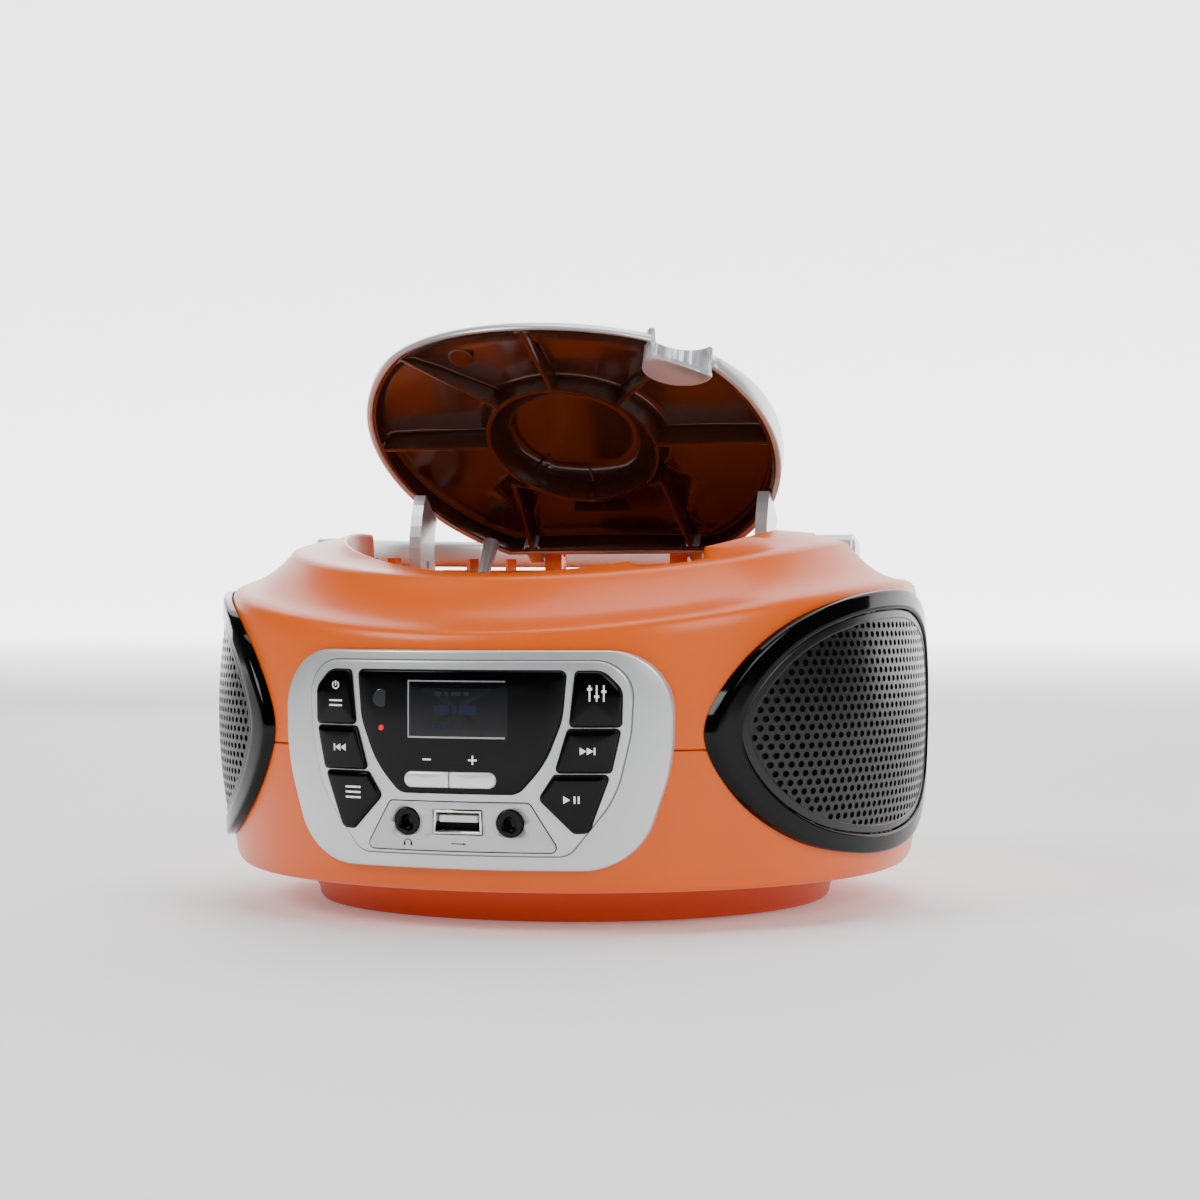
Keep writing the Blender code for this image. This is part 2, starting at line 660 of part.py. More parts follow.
def lug_outline(radius, reach):
    """Side view of a lug: an eye about the hinge axis with a neck running forwards into the lid."""
    arc = [(radius * cos(a), radius * sin(a)) for a in (radians(90 - 15 * k) for k in range(13))]
    return arc + [(-reach, -radius), (-reach, radius)]


def arm_outline():
    """Side view of a lid arm: a ring sector about the hinge axis, cut level under the lid's edge."""
    top = LID_PLANE_Z - HINGE_Z - GAP
    steps = 8
    outer_start, inner_start = (angle_below(-top, r) for r in (ARM_R_OUT, ARM_R_IN))
    outer = [outer_start + (ARM_LOW_ANGLE - outer_start) * k / steps for k in range(steps + 1)]
    inner = [ARM_LOW_ANGLE + (inner_start - ARM_LOW_ANGLE) * k / steps for k in range(steps + 1)]
    return ([(-ARM_R_OUT * cos(a), -ARM_R_OUT * sin(a)) for a in outer]
            + [(-ARM_R_IN * cos(a), -ARM_R_IN * sin(a)) for a in inner])


def angle_below(height, radius):
    """Angle below the level at which a circle about the hinge reaches a depth."""
    return atan2(height, sqrt(radius ** 2 - height ** 2))


def lid_assembly(silver, brown):
    pivot = bpy.data.objects.new("lid_pivot", None)
    PARTS.objects.link(pivot)
    moving = [lid_body(brown)]
    for label, side in (("l", -1), ("r", 1)):
        near, far = sorted((side * (ARM_X - 2.0), side * (ARM_X + 2.0)))
        arm = prism(f"lid_arm_{label}", arm_outline(), near, far, FROM_SIDE)
        mid = radians(43)
        reach = (ARM_R_IN + ARM_R_OUT) / 2
        cut(arm, cylinder("arm_hole", 1.4, 10, (side * ARM_X, -reach * cos(mid), -reach * sin(mid)),
                          (1, 0, 0), 12, CUTTERS))
        if side < 0:
            for k in range(9):
                at = radians(14 + 3.6 * k)
                tooth = cylinder("rack_gap", 0.75, 3.0, (side * ARM_X + 1.9, -ARM_R_IN * cos(at),
                                                         -ARM_R_IN * sin(at)), (1, 0, 0), 6, CUTTERS)
                cut(arm, tooth)
        arm.data.materials.append(silver)
        moving.append(arm)
    peg_top = LID_PLANE_Z - HINGE_Z - GAP
    peg = cylinder("lid_switch_peg", 2.0, PEG_LENGTH, (PEG_X, PEG_Y - HINGE_Y, peg_top - PEG_LENGTH / 2),
                   sides=16, radius_2=3.0)
    peg.data.materials.append(silver)
    moving.append(peg)
    for item in moving:
        item.parent = pivot
    for item in CUTTERS.objects:
        if is_lid_cutter(item.name):
            item.parent = pivot
    pivot.location = Vector((0, HINGE_Y, HINGE_Z)) * MM
    pivot.rotation_euler.x = -LID_OPEN


LID_CUTTERS = ("lid_", "clamp_", "finger_cup", "hinge_lug", "lug_bore", "arm_hole", "rack_gap")


def is_lid_cutter(name):
    return name.startswith(LID_CUTTERS)


def hinge_pins(metal):
    for label, side in (("l", -1), ("r", 1)):
        pin = cylinder(f"hinge_pin_{label}", 1.2, 13.0, (side * 26.0, HINGE_Y, HINGE_Z), (1, 0, 0), 16)
        pin.data.materials.append(metal)


# Carry handle ------------------------------------------------------------------------------------
def carry_handle(silver, metal):
    """An arch that lies folded back round the rear half of the cabinet's top."""
    angles = [radians(90 + 7.5 * k) for k in range(25)]
    section = rounded([(0, 0, 2.2), (HANDLE_R_OUT - HANDLE_R_IN, 0, 3.0),
                       (HANDLE_R_OUT - HANDLE_R_IN, HANDLE_THICK, 3.0), (0, HANDLE_THICK, 2.2)], 2)
    rings = []
    for phi in angles:
        ring = []
        for across, up in section:
            x, y, _ = at_angle(phi, HANDLE_R_IN + across, 0)
            ring.append((x, y, up - HANDLE_THICK / 2))
        rings.append(ring)
    start, end = rings[0], rings[-1]
    handle = loft("carry_handle", rings, first_cap=mean_point(start), last_cap=mean_point(end))
    for side in (-1, 1):
        width = HANDLE_R_OUT - HANDLE_R_IN
        hub = cylinder("handle_hub", HANDLE_THICK / 2, width - 1.2,
                       (side * (HANDLE_R_IN + width / 2), 0.0, 0.0), (1, 0, 0), 24, CUTTERS)
        join(handle, hub)
        bore = cylinder("handle_bore", 2.5, 14.0, (side * (HANDLE_R_IN + 2.0), 0, 0), (1, 0, 0), 16, CUTTERS)
        cut(handle, bore)
    for item in (handle, *[c for c in CUTTERS.objects if c.name.startswith(("handle_hub", "handle_bore"))]):
        item.location += Vector((0, HANDLE_Y, HANDLE_Z)) * MM
    handle.data.materials.append(silver)
    for label, side in (("l", -1), ("r", 1)):
        pin = cylinder(f"handle_pin_{label}", 2.2, 15.0, (side * 80.6, HANDLE_Y, HANDLE_Z), (1, 0, 0), 16)
        pin.data.materials.append(metal)


def mean_point(points):
    return tuple(sum(p[k] for p in points) / len(points) for k in range(3))


# Control panel -----------------------------------------------------------------------------------
PANEL_OUTLINE = rounded(mirrored([(59.6, 81.6, 17), (59.3, 50, 60), (49.5, 18.9, 20)]))
FRAME_OUTLINE = rounded(mirrored([(49.6, 78.6, 10), (48.6, 58, 30), (44.5, 40, 30), (31.5, 23.2, 6)]), 4)
WINDOW_OUTLINE = rounded(mirrored([(31.4, 75.7, 1.5), (30.2, 62, 20), (25.4, 49.5, 30), (17.8, 41.0, 5)]), 4)
PORT_OUTLINE = rounded(mirrored([(21.0, 38.3, 1.5), (29.4, 24.3, 1.5)]), 3)

# The three keys beside the window, from top to bottom, as +X outlines
KEY_OUTLINES = {
    "top": rounded([(34.2, 75.6, 1), (41.5, 75.6, 5), (46.4, 70.5, 5), (46.2, 60.2, 1), (32.6, 60.2, 1)], 3),
    "middle": rounded([(32.1, 59.2, 1), (46.0, 59.2, 1), (43.4, 47.2, 1), (28.6, 47.2, 1)], 3),
    "bottom": rounded([(28.2, 46.2, 1), (43.0, 46.2, 1), (37.2, 30.2, 2), (33.4, 30.0, 2), (24.0, 39.6, 1.5)], 3),
}
KEY_NAMES = {-1: ("power_button", "skip_back_button", "menu_button"),
             1: ("eq_button", "skip_forward_button", "play_button")}


def front_slab(name, outline, near, far, group=PARTS):
    """A plate that follows the cabinet's front wall, from near to far outside it, trimmed to an outline."""
    xs = [u for u, v in outline]
    zs = [v for u, v in outline]
    left, right, low, high = min(xs) - 3, max(xs) + 3, min(zs) - 3, max(zs) + 3
    columns = max(3, int((right - left) / 9))
    rows = max(2, int((high - low) / 14))
    points, faces = [], []
    for r in range(rows + 1):
        z = low + (high - low) * r / rows
        for c in range(columns + 1):
            x = left + (right - left) * c / columns
            points.append((x, wall_y(x, z, far), z))
    for r in range(rows):
        for c in range(columns):
            start = r * (columns + 1) + c
            faces.append((start, start + 1, start + columns + 2, start + columns + 1))
    slab = add_object(name, mesh_from(name, points, faces), group)
    point_outwards(slab, (0, -400, 60))
    thicken(slab, far - near)
    trim = prism(name + "_trim", outline, -140, -80, FROM_FRONT, CUTTERS)
    keep_inside(slab, trim)
    return slab


def grown(outline, amount):
    """The outline pushed out by an amount along its own normals."""
    count = len(outline)
    area = sum(outline[i][0] * outline[(i + 1) % count][1] - outline[(i + 1) % count][0] * outline[i][1]
               for i in range(count))
    turn = 1 if area > 0 else -1
    result = []
    for i, (u, v) in enumerate(outline):
        before, after = Vector(outline[i - 1]), Vector(outline[(i + 1) % count])
        along = (after - before).normalized()
        result.append((u + turn * along.y * amount, v - turn * along.x * amount))
    return result


def flipped(outline):
    return [(-u, v) for u, v in reversed(outline)]


def front_hole(name, outline):
    return prism(name, outline, -140, -80, FROM_FRONT, CUTTERS)


VOLUME_Z = (42.4, 47.0)
VOLUME_X = (-16.0, -2.1, 11.8)


def control_panel(silver, gloss_black, grey, chrome, dark, red):
    panel = front_slab("front_panel", PANEL_OUTLINE, GAP, 2.6)
    join(panel, front_slab("panel_frame", FRAME_OUTLINE, 1.0, PANEL_PROUD, CUTTERS))
    cut(panel, front_hole("window_hole", grown(WINDOW_OUTLINE, GAP)))
    cut(panel, front_hole("port_hole", grown(PORT_OUTLINE, GAP)))
    panel.data.materials.append(silver)

    window = front_slab("display_window", WINDOW_OUTLINE, 1.2, 3.0)
    pill = rounded([(VOLUME_X[0], VOLUME_Z[0], 2.2), (VOLUME_X[2], VOLUME_Z[0], 2.2),
                    (VOLUME_X[2], VOLUME_Z[1], 2.2), (VOLUME_X[0], VOLUME_Z[1], 2.2)], 4)
    cut(window, front_hole("volume_hole", grown(pill, GAP)))
    window.data.materials.append(gloss_black)

    for side, names in KEY_NAMES.items():
        for name, outline in zip(names, KEY_OUTLINES.values()):
            face = outline if side > 0 else flipped(outline)
            cut(panel, front_hole(name + "_hole", grown(face, GAP)))
            key = front_slab(name, face, -0.8, PANEL_PROUD + 0.5)
            key.data.materials.append(gloss_black)
            middle = mean_point([(u, 0, v) for u, v in face])
            origin_at(key, (middle[0], wall_y(middle[0], middle[2]), middle[2]))

    for name, x_low, x_high in (("volume_down_button", VOLUME_X[0], VOLUME_X[1] - GAP / 2),
                                ("volume_up_button", VOLUME_X[1] + GAP / 2, VOLUME_X[2])):
        radii = (2.2, 0.3) if x_low < VOLUME_X[0] + 1 else (0.3, 2.2)
        face = rounded([(x_low, VOLUME_Z[0], radii[0]), (x_high, VOLUME_Z[0], radii[1]),
                        (x_high, VOLUME_Z[1], radii[1]), (x_low, VOLUME_Z[1], radii[0])], 4)
        key = front_slab(name, face, -0.8, 3.8)
        key.data.materials.append(silver)
        x, z = (x_low + x_high) / 2, sum(VOLUME_Z) / 2
        origin_at(key, (x, wall_y(x, z), z))

    ports = front_slab("port_plate", PORT_OUTLINE, 1.0, 3.0)
    for x in (-JACK_X, JACK_X):
        cut(ports, cylinder("jack_hole", 4.2, 60, (x, -110, PORT_Z), (0, 1, 0), 24, CUTTERS))
    usb_outline = rounded([(-7.6, PORT_Z - 3.7, 0.6), (7.6, PORT_Z - 3.7, 0.6),
                           (7.6, PORT_Z + 3.7, 0.6), (-7.6, PORT_Z + 3.7, 0.6)], 2)
    cut(ports, front_hole("usb_hole", usb_outline))
    ports.data.materials.append(grey)
    sockets(dark, chrome)

    board = box("main_board", (92.0, 1.6, 48.0), (0, -92.0, 50.0))
    board.data.materials.append(dark)
    lcd = box("lcd_module", (34.0, 4.0, 22.0), (0, -106.0, 64.7))
    lcd.data.materials.append(dark)
    for name, z, radius, finish in (("infrared_receiver", 67.8, 3.2, dark), ("standby_light", 59.2, 1.5, red)):
        lamp = cylinder(name, radius, 7.0, (-23.6, -104.0, z), (0, -1, 0), 20)
        lamp.data.materials.append(finish)


JACK_X = 15.5
PORT_Z = 32.6


def sockets(dark, chrome):
    for name, x in (("headphone_jack", -JACK_X), ("aux_jack", JACK_X)):
        face = -wall_y(x, PORT_Z, 3.6)
        place = Matrix.Translation(Vector((x, -face + 13.0, PORT_Z)) * MM) @ axis_turn((0, -1, 0))
        jack = turned(name, [(1.8, 13.0), (3.5, 13.0), (3.9, 12.6), (3.9, 0.0), (1.8, 0.0)], place, 24)
        jack.data.materials.append(dark)
    front = wall_y(0, PORT_Z, 2.6)
    shell = box("usb_socket", (14.4, 16.0, 6.6), (0, front + 8.0, PORT_Z))
    cut(shell, box("usb_cavity", (12.6, 18.0, 4.8), (0, front + 6.0, PORT_Z), CUTTERS))
    join(shell, box("usb_tongue", (11.2, 14.0, 1.8), (0, front + 8.6, PORT_Z + 0.9), CUTTERS))
    shell.data.materials.append(chrome)


# Speakers ----------------------------------------------------------------------------------------
# Bezel outline for the right-hand side, across (towards the rear) and up, in the plane that faces the speaker
BEZEL_POINTS = [(-75, 57), (-68, 75), (-53, 88.5), (-32, 96), (-8, 99), (16, 98), (36, 90), (47, 74),
                (48, 54), (41, 37), (25, 25), (2, 20), (-24, 20.2), (-48, 25.5), (-66, 38)]
BEZEL_OUTLINE = smooth_outline(BEZEL_POINTS, 2)
BEZEL_CENTRE = (-12.0, 59.0)
GRILLE_OUTLINE = scaled(BEZEL_OUTLINE, BEZEL_CENTRE, 0.88, 0.845)


def speaker_axes(side):
    """Across, up and outwards directions of one speaker."""
    out = (side * sin(SPEAKER_ANGLE), -cos(SPEAKER_ANGLE), 0.0)
    across = (side * cos(SPEAKER_ANGLE), sin(SPEAKER_ANGLE), 0.0)
    return across, (0, 0, 1), out


def side_slab(name, side, outlines, near, far, bulge=0.0, group=PARTS):
    """A plate that follows the cabinet's side wall, trimmed to one outline and opened by the others."""
    columns, rows = 18, 8
    points, faces = [], []
    for r in range(rows + 1):
        z = 14.0 + 91.0 * r / rows
        for c in range(columns + 1):
            phi = radians(30 + 96 * c / columns)
            across = HALF_WIDTH * sin(phi - SPEAKER_ANGLE)
            dome = (1 - ((across + 12) / 62) ** 2) * (1 - ((z - 59) / 38) ** 2)
            lift = far + bulge * max(0.0, dome)
            x, y, _ = at_angle(phi, plan_radius(phi, wall_half(z) + lift), z)
            points.append((side * x, y, z))
    for r in range(rows):
        for c in range(columns):
            start = r * (columns + 1) + c
            faces.append((start, start + 1, start + columns + 2, start + columns + 1))
    slab = add_object(name, mesh_from(name, points, faces), group)
    point_outwards(slab, (side * 400, -80, 60))
    thicken(slab, far - near)
    axes = speaker_axes(side)
    keep_inside(slab, prism(name + "_trim", outlines[0], 20, 160, axes, CUTTERS))
    for outline in outlines[1:]:
        cut(slab, prism(name + "_opening", outline, 20, 160, axes, CUTTERS))
    return slab


def speaker(label, side, gloss_black, grille_black, cone_black, metal):
    bezel = side_slab(f"speaker_bezel_{label}", side, (BEZEL_OUTLINE, grown(GRILLE_OUTLINE, GAP)), GAP, 2.6)
    bezel.data.materials.append(gloss_black)
    grille = side_slab(f"speaker_grille_{label}", side, (GRILLE_OUTLINE,), 0.4, 1.6, 0.0)
    grille.data.materials.append(grille_black)
    across, _, out = speaker_axes(side)
    centre = Vector(out) * 70.0 * MM + Vector((0, 0, SPEAKER_Z * MM))
    place = Matrix.Translation(centre) @ axis_turn(out)
    basket = [(29.0, 27.5), (36.0, 27.5), (36.0, 25.5), (31.0, 24.5), (17.0, 12.0), (20.5, 11.5),
              (20.5, 0.0), (0.0, 0.0), (0.0, 10.0), (13.0, 11.6), (27.0, 24.0)]
    frame = turned(f"speaker_driver_{label}", reordered(basket), place, 24)
    frame.data.materials.append(metal)
    cone = [(0.0, 17.5), (7.0, 15.0), (24.0, 26.5), (26.0, 27.5), (27.3, 26.4), (27.3, 25.4),
            (26.4, 25.4), (24.5, 24.5), (8.0, 13.4), (0.0, 13.4)]
    paper = turned(f"speaker_cone_{label}", cone, place, 24)
    paper.data.materials.append(cone_black)


def reordered(basket):
    """Start the basket's outline on the axis, at the top, and run down the outer side."""
    start = basket.index((0.0, 10.0))
    return basket[start:] + basket[:start]


# Disc mechanism ----------------------------------------------------------------------------------
def disc_mechanism(dark, metal, grey, brass, lens_finish):
    hub = [(0, 101.2), (6.6, 101.2), (7.4, 100.2), (7.4, 98.2), (14.5, 98.2), (15.0, 97.6), (15.0, 96.4),
           (4.0, 96.2), (4.0, 92.6), (0, 92.6)]
    turntable = turned("turntable", hub, Matrix.Translation(Vector((0, SPINDLE_Y, 0)) * MM), 24)
    for k in range(3):
        turn = radians(90 + 120 * k)
        claw = box("disc_claw", (2.4, 3.4, 1.2), (7.2 * cos(turn), SPINDLE_Y + 7.2 * sin(turn), 99.4), CUTTERS)
        join(turntable, claw)
    turntable.data.materials.append(dark)

    motor = turned("spindle_motor", [(0, 92.2), (11.4, 92.2), (12.0, 91.6), (12.0, 82.0), (11.0, 81.0), (0, 81.0)],
                   Matrix.Translation(Vector((0, SPINDLE_Y, 0)) * MM), 28)
    motor.data.materials.append(metal)

    plate_outline = rounded([(-34, -40, 5), (34, -40, 5), (34, 57, 5), (-34, 57, 5)], 3)
    chassis = prism("cd_chassis", plate_outline, 78.4, 80.4, FROM_TOP)
    cut(chassis, prism("sled_window", rounded([(-12, 6, 2), (12, 6, 2), (12, 49, 2), (-12, 49, 2)], 2),
                       70, 90, FROM_TOP, CUTTERS))
    for x in (-28, 28):
        for y in (-34, 50):
            join(chassis, cylinder("chassis_post", 3.2, 12.2, (x, y, 85.6), sides=8, group=CUTTERS))
    for x in (-16, 16):
        for y in (2.5, 53.0):
            join(chassis, box("rod_cradle", (6.0, 3.0, 9.0), (x, y, 84.0), CUTTERS))
            cut(chassis, cylinder("rod_seat", 1.5 + 0.2, 8.0, (x, y, 86.6), (0, 1, 0), 12, CUTTERS))
    join(chassis, cylinder("gear_axle", 1.0, 7.0, (GEAR_X, GEAR_Y, 83.0), sides=10, group=CUTTERS))
    chassis.data.materials.append(dark)
    switch = box("lid_switch", (7.0, 11.0, 8.0), (PEG_X, PEG_Y, 86.0))
    join(switch, cylinder("switch_plunger", 1.6, 3.0, (PEG_X, PEG_Y, 90.8), sides=12, group=CUTTERS))
    switch.data.materials.append(dark)

    for label, x in (("l", -16), ("r", 16)):
        rod = cylinder(f"guide_rod_{label}", 1.5, 53.0, (x, 27.7, 86.6), (0, 1, 0), 12)
        rod.data.materials.append(metal)

    sled = box("pickup_sled", (38.0, 14.0, 7.0), (0, SLED_Y, 86.6))
    soften(sled, 0.8, 1)
    for x in (-16, 16):
        cut(sled, cylinder("sled_bore", 1.75, 20.0, (x, SLED_Y, 86.6), (0, 1, 0), 12, CUTTERS))
    cut(sled, cylinder("lens_seat", 3.6, 6.0, (0, SLED_Y, 91.4), sides=20, group=CUTTERS))
    sled.data.materials.append(grey)
    origin_at(sled, (0, SLED_Y, 86.6))
    lens = turned("pickup_lens", [(0, 92.6), (1.8, 92.2), (2.4, 91.6), (3.2, 91.4), (3.2, 88.9), (0, 88.9)],
                  Matrix.Translation(Vector((0, SLED_Y, 0)) * MM), 20)
    lens.data.materials.append(lens_finish)

    gear_place = Matrix.Translation(Vector((GEAR_X, GEAR_Y, 84.0)) * MM)
    gear = cylinder("sled_gear", 4.6, 3.0, (0, 0, 0), sides=24)
    bore = cylinder("sled_gear_bore", 1.2, 6.0, (0, 0, 0), sides=10, group=CUTTERS)
    bore.matrix_world = gear_place
    cut(gear, bore)
    for k in range(12):
        turn = 2 * pi * k / 12
        tooth = cylinder("sled_gear_gap", 0.7, 6.0, (4.9 * cos(turn), 4.9 * sin(turn), 0), sides=8, group=CUTTERS)
        tooth.matrix_world = gear_place
        cut(gear, tooth)
    gear.matrix_world = gear_place
    gear.data.materials.append(brass)


SLED_Y = 17.0
GEAR_X, GEAR_Y = 24.8, SLED_Y + 9.0


# Rear: telescopic aerial, mains inlet and transformer --------------------------------------------
def aerial(dark, chrome):
    base = box("aerial_base", (13.0, 14.0, 9.0), (ANTENNA_X + 1.0, 93.4, ANTENNA_Z - 1.0))
    soften(base, 2.0, 3)
    base.data.materials.append(dark)
    knuckle = cylinder("aerial_knuckle", 3.0, 5.4, (ANTENNA_X, ANTENNA_Y, ANTENNA_Z), (0, 1, 0), 20)
    mast_length = 92.0
    outer = cylinder("aerial_outer", 2.8, mast_length, (ANTENNA_X - mast_length / 2, ANTENNA_Y, ANTENNA_Z),
                     (-1, 0, 0), 16, CUTTERS)
    join(knuckle, outer)
    cut(knuckle, cylinder("aerial_outer_bore", 2.05, mast_length,
                          (ANTENNA_X - 4 - mast_length / 2, ANTENNA_Y, ANTENNA_Z), (-1, 0, 0), 16, CUTTERS))
    knuckle.data.materials.append(chrome)
    origin_at(knuckle, (ANTENNA_X, ANTENNA_Y, ANTENNA_Z))
    for name in ("aerial_outer", "aerial_outer_bore"):
        bpy.data.objects[name].location = (0, 0, 0)
    middle = [(1.9, 0.0), (1.9, -88.0), (1.2, -88.0), (1.2, 0.0)]
    place = Matrix.Translation(Vector((ANTENNA_X - mast_length - 0.6, ANTENNA_Y, ANTENNA_Z)) * MM)
    tube = turned("aerial_middle", middle, place @ axis_turn((-1, 0, 0)), 16)
    tube.data.materials.append(chrome)
    tip = [(0, 5.0), (2.2, 5.0), (2.8, 4.2), (2.8, 0.8), (1.05, 0.4), (1.05, -84.0), (0, -84.0)]
    rod = turned("aerial_tip", tip, place @ axis_turn((-1, 0, 0)), 16)
    rod.data.materials.append(chrome)


def mains_parts(dark, metal):
    inlet = prism("mains_inlet", rounded([(-29.0, 23.5, 2.8), (-11.0, 23.5, 2.8), (-11.0, 36.5, 2.8),
                                          (-29.0, 36.5, 2.8)], 3), 95.0, 112.0, FROM_FRONT)
    for x in (-22.2, -17.8):
        cut(inlet, cylinder("inlet_well", 3.4, 12.0, (x, 109.4, 30.0), (0, 1, 0), 20, CUTTERS))
    for x in (-23.2, -16.8):
        join(inlet, cylinder("inlet_prong", 0.8, 9.0, (x, 107.0, 30.0), (0, 1, 0), 8, CUTTERS))
    inlet.data.materials.append(dark)
    core = box("transformer", (44.0, 30.0, 34.0), (16, 68, 33.0))
    soften(core, 1.0, 1)
    join(core, box("transformer_coil", (28.0, 38.0, 22.0), (16, 68, 33.0), CUTTERS))
    core.data.materials.append(metal)


# Assembly ----------------------------------------------------------------------------------------
def smooth_all():
    for item in PARTS.objects:
        if item.type == "MESH":
            item.data.shade_smooth()
            item.data.set_sharp_from_angle(angle=radians(38))


def main():
    clear_scene()
    orange = material("orange_plastic", (0.90, 0.22, 0.035), 0.35)
    silver = material("silver_paint", (0.62, 0.63, 0.64), 0.32, 0.7)
    brown = material("smoked_brown", (0.06, 0.018, 0.01), 0.15)
    gloss_black = material("gloss_black", (0.008, 0.008, 0.009), 0.08)
    grille_black = material("grille_black", (0.02, 0.02, 0.022), 0.4)
    dark = material("matt_black", (0.02, 0.02, 0.02), 0.5)
    grey = material("light_grey", (0.5, 0.5, 0.51), 0.4)
    metal = material("bright_steel", (0.6, 0.6, 0.6), 0.3, 1.0)
    chrome = material("chrome", (0.75, 0.75, 0.76), 0.12, 1.0)
    brass = material("acetal_white", (0.8, 0.78, 0.7), 0.4)
    rubber = material("rubber", (0.015, 0.015, 0.015), 0.8)
    red = material("red_lamp", (0.6, 0.02, 0.01), 0.3)
    lens_finish = material("lens_glass", (0.1, 0.15, 0.3), 0.05)

    panel_hole = front_hole("panel_opening", FRAME_OUTLINE)
    speaker_holes = [prism("speaker_opening", scaled(BEZEL_OUTLINE, BEZEL_CENTRE, 0.8, 0.76), 20, 160,
                           speaker_axes(side), CUTTERS) for side in (-1, 1)]
    shared = [panel_hole, *speaker_holes]
    lower_shell(shared, orange)
    upper_shell(shared, orange)
    base_parts(dark, rubber, orange, metal)
    control_panel(silver, gloss_black, grey, chrome, dark, red)
    for label, side in (("l", -1), ("r", 1)):
        speaker(label, side, gloss_black, grille_black, dark, metal)
    disc_mechanism(dark, metal, grey, brass, lens_finish)
    lid_assembly(silver, brown)
    hinge_pins(metal)
    carry_handle(silver, metal)
    aerial(dark, chrome)
    mains_parts(dark, metal)
    smooth_all()


main()
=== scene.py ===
from math import asin, atan2, cos, pi, radians, sin

import bpy
from mathutils import Matrix, Vector


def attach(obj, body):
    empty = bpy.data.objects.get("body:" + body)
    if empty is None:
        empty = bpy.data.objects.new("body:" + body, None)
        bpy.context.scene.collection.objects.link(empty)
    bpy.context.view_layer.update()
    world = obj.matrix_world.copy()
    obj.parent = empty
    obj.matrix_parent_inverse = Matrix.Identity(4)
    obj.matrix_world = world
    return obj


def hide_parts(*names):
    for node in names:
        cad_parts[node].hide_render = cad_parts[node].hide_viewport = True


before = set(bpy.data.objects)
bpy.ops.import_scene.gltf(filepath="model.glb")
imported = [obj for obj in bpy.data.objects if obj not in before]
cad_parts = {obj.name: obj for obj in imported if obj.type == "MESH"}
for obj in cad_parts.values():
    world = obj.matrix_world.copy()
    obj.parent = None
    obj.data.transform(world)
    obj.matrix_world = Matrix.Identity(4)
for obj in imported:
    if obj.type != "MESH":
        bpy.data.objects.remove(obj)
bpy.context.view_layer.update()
MM = 0.001


# %% [markdown]
# ## Materials
# Real plastic is never perfectly even. Each finish gets a little procedural variation on object
# coordinates: a fine moulded grain as bump, and a slow drift in roughness like handling marks.
# %% Material helper
def finish(name, colour, rough, metal=0.0, coat=0.0, grain=0.0, scale=900.0, drift=0.05, glow=0.0,
           shine=0.5):
    made = bpy.data.materials.new(name)
    made.use_nodes = True
    tree = made.node_tree
    shader = tree.nodes["Principled BSDF"]
    shader.inputs["Base Color"].default_value = (*colour, 1)
    shader.inputs["Metallic"].default_value = metal
    shader.inputs["Coat Weight"].default_value = coat
    shader.inputs["Specular IOR Level"].default_value = shine
    shader.inputs["Coat Roughness"].default_value = 0.12
    place = tree.nodes.new("ShaderNodeTexCoord")
    slow = tree.nodes.new("ShaderNodeTexNoise")
    slow.inputs["Scale"].default_value = 35.0
    slow.inputs["Detail"].default_value = 3.0
    tree.links.new(place.outputs["Object"], slow.inputs["Vector"])
    span = tree.nodes.new("ShaderNodeMapRange")
    span.inputs["To Min"].default_value = max(0.02, rough - drift)
    span.inputs["To Max"].default_value = rough + drift
    tree.links.new(slow.outputs["Fac"], span.inputs["Value"])
    tree.links.new(span.outputs["Result"], shader.inputs["Roughness"])
    if grain:
        fine = tree.nodes.new("ShaderNodeTexNoise")
        fine.inputs["Scale"].default_value = scale
        fine.inputs["Detail"].default_value = 2.0
        tree.links.new(place.outputs["Object"], fine.inputs["Vector"])
        bump = tree.nodes.new("ShaderNodeBump")
        bump.inputs["Strength"].default_value = grain
        bump.inputs["Distance"].default_value = 0.0002
        tree.links.new(fine.outputs["Fac"], bump.inputs["Height"])
        tree.links.new(bump.outputs["Normal"], shader.inputs["Normal"])
    if glow:
        shader.inputs["Emission Color"].default_value = (*colour, 1)
        shader.inputs["Emission Strength"].default_value = glow
    return made


# %% [markdown]
# The orange is a satin, self-coloured plastic. The silver is paint with metal flake, so it is partly
# metallic. Blacks differ by gloss: mirror-like for keys and window, dull for the grille.
# %% Finishes
ORANGE = finish("orange_plastic", (0.82, 0.118, 0.0015), 0.34, coat=0.12, grain=0.10,
                scale=1400, shine=0.35)
# A darker copy of the orange: painted shade for the plinth and the underside.
ORANGE_PAINTED_SHADE = finish("orange_painted_shade", (0.62, 0.060, 0.002), 0.42, coat=0.1, grain=0.10, scale=1400)
SILVER = finish("silver_paint", (0.66, 0.67, 0.68), 0.34, metal=0.6, coat=0.35, grain=0.12, scale=2600)
SILVER_BRIGHT = finish("silver_button", (0.88, 0.88, 0.89), 0.30, metal=0.4, coat=0.4, drift=0.03)
BROWN = finish("lid_lining_brown", (0.048, 0.012, 0.005), 0.20, coat=0.5, grain=0.15, scale=160)
GLOSS_BLACK = finish("gloss_black", (0.0008, 0.0008, 0.0009), 0.07, drift=0.02, shine=0.2)
SATIN_BLACK = finish("grille_black", (0.004, 0.004, 0.0045), 0.28, grain=0.1, shine=0.45)
MATT_BLACK = finish("matt_black", (0.010, 0.010, 0.010), 0.75, grain=0.3)
CLOTH = finish("speaker_cloth", (0.006, 0.006, 0.006), 0.9, grain=0.5, scale=2200)
GREY = finish("port_grey", (0.58, 0.59, 0.60), 0.36, metal=0.25, coat=0.2, grain=0.08)
STEEL = finish("bright_steel", (0.58, 0.58, 0.58), 0.28, metal=1.0)
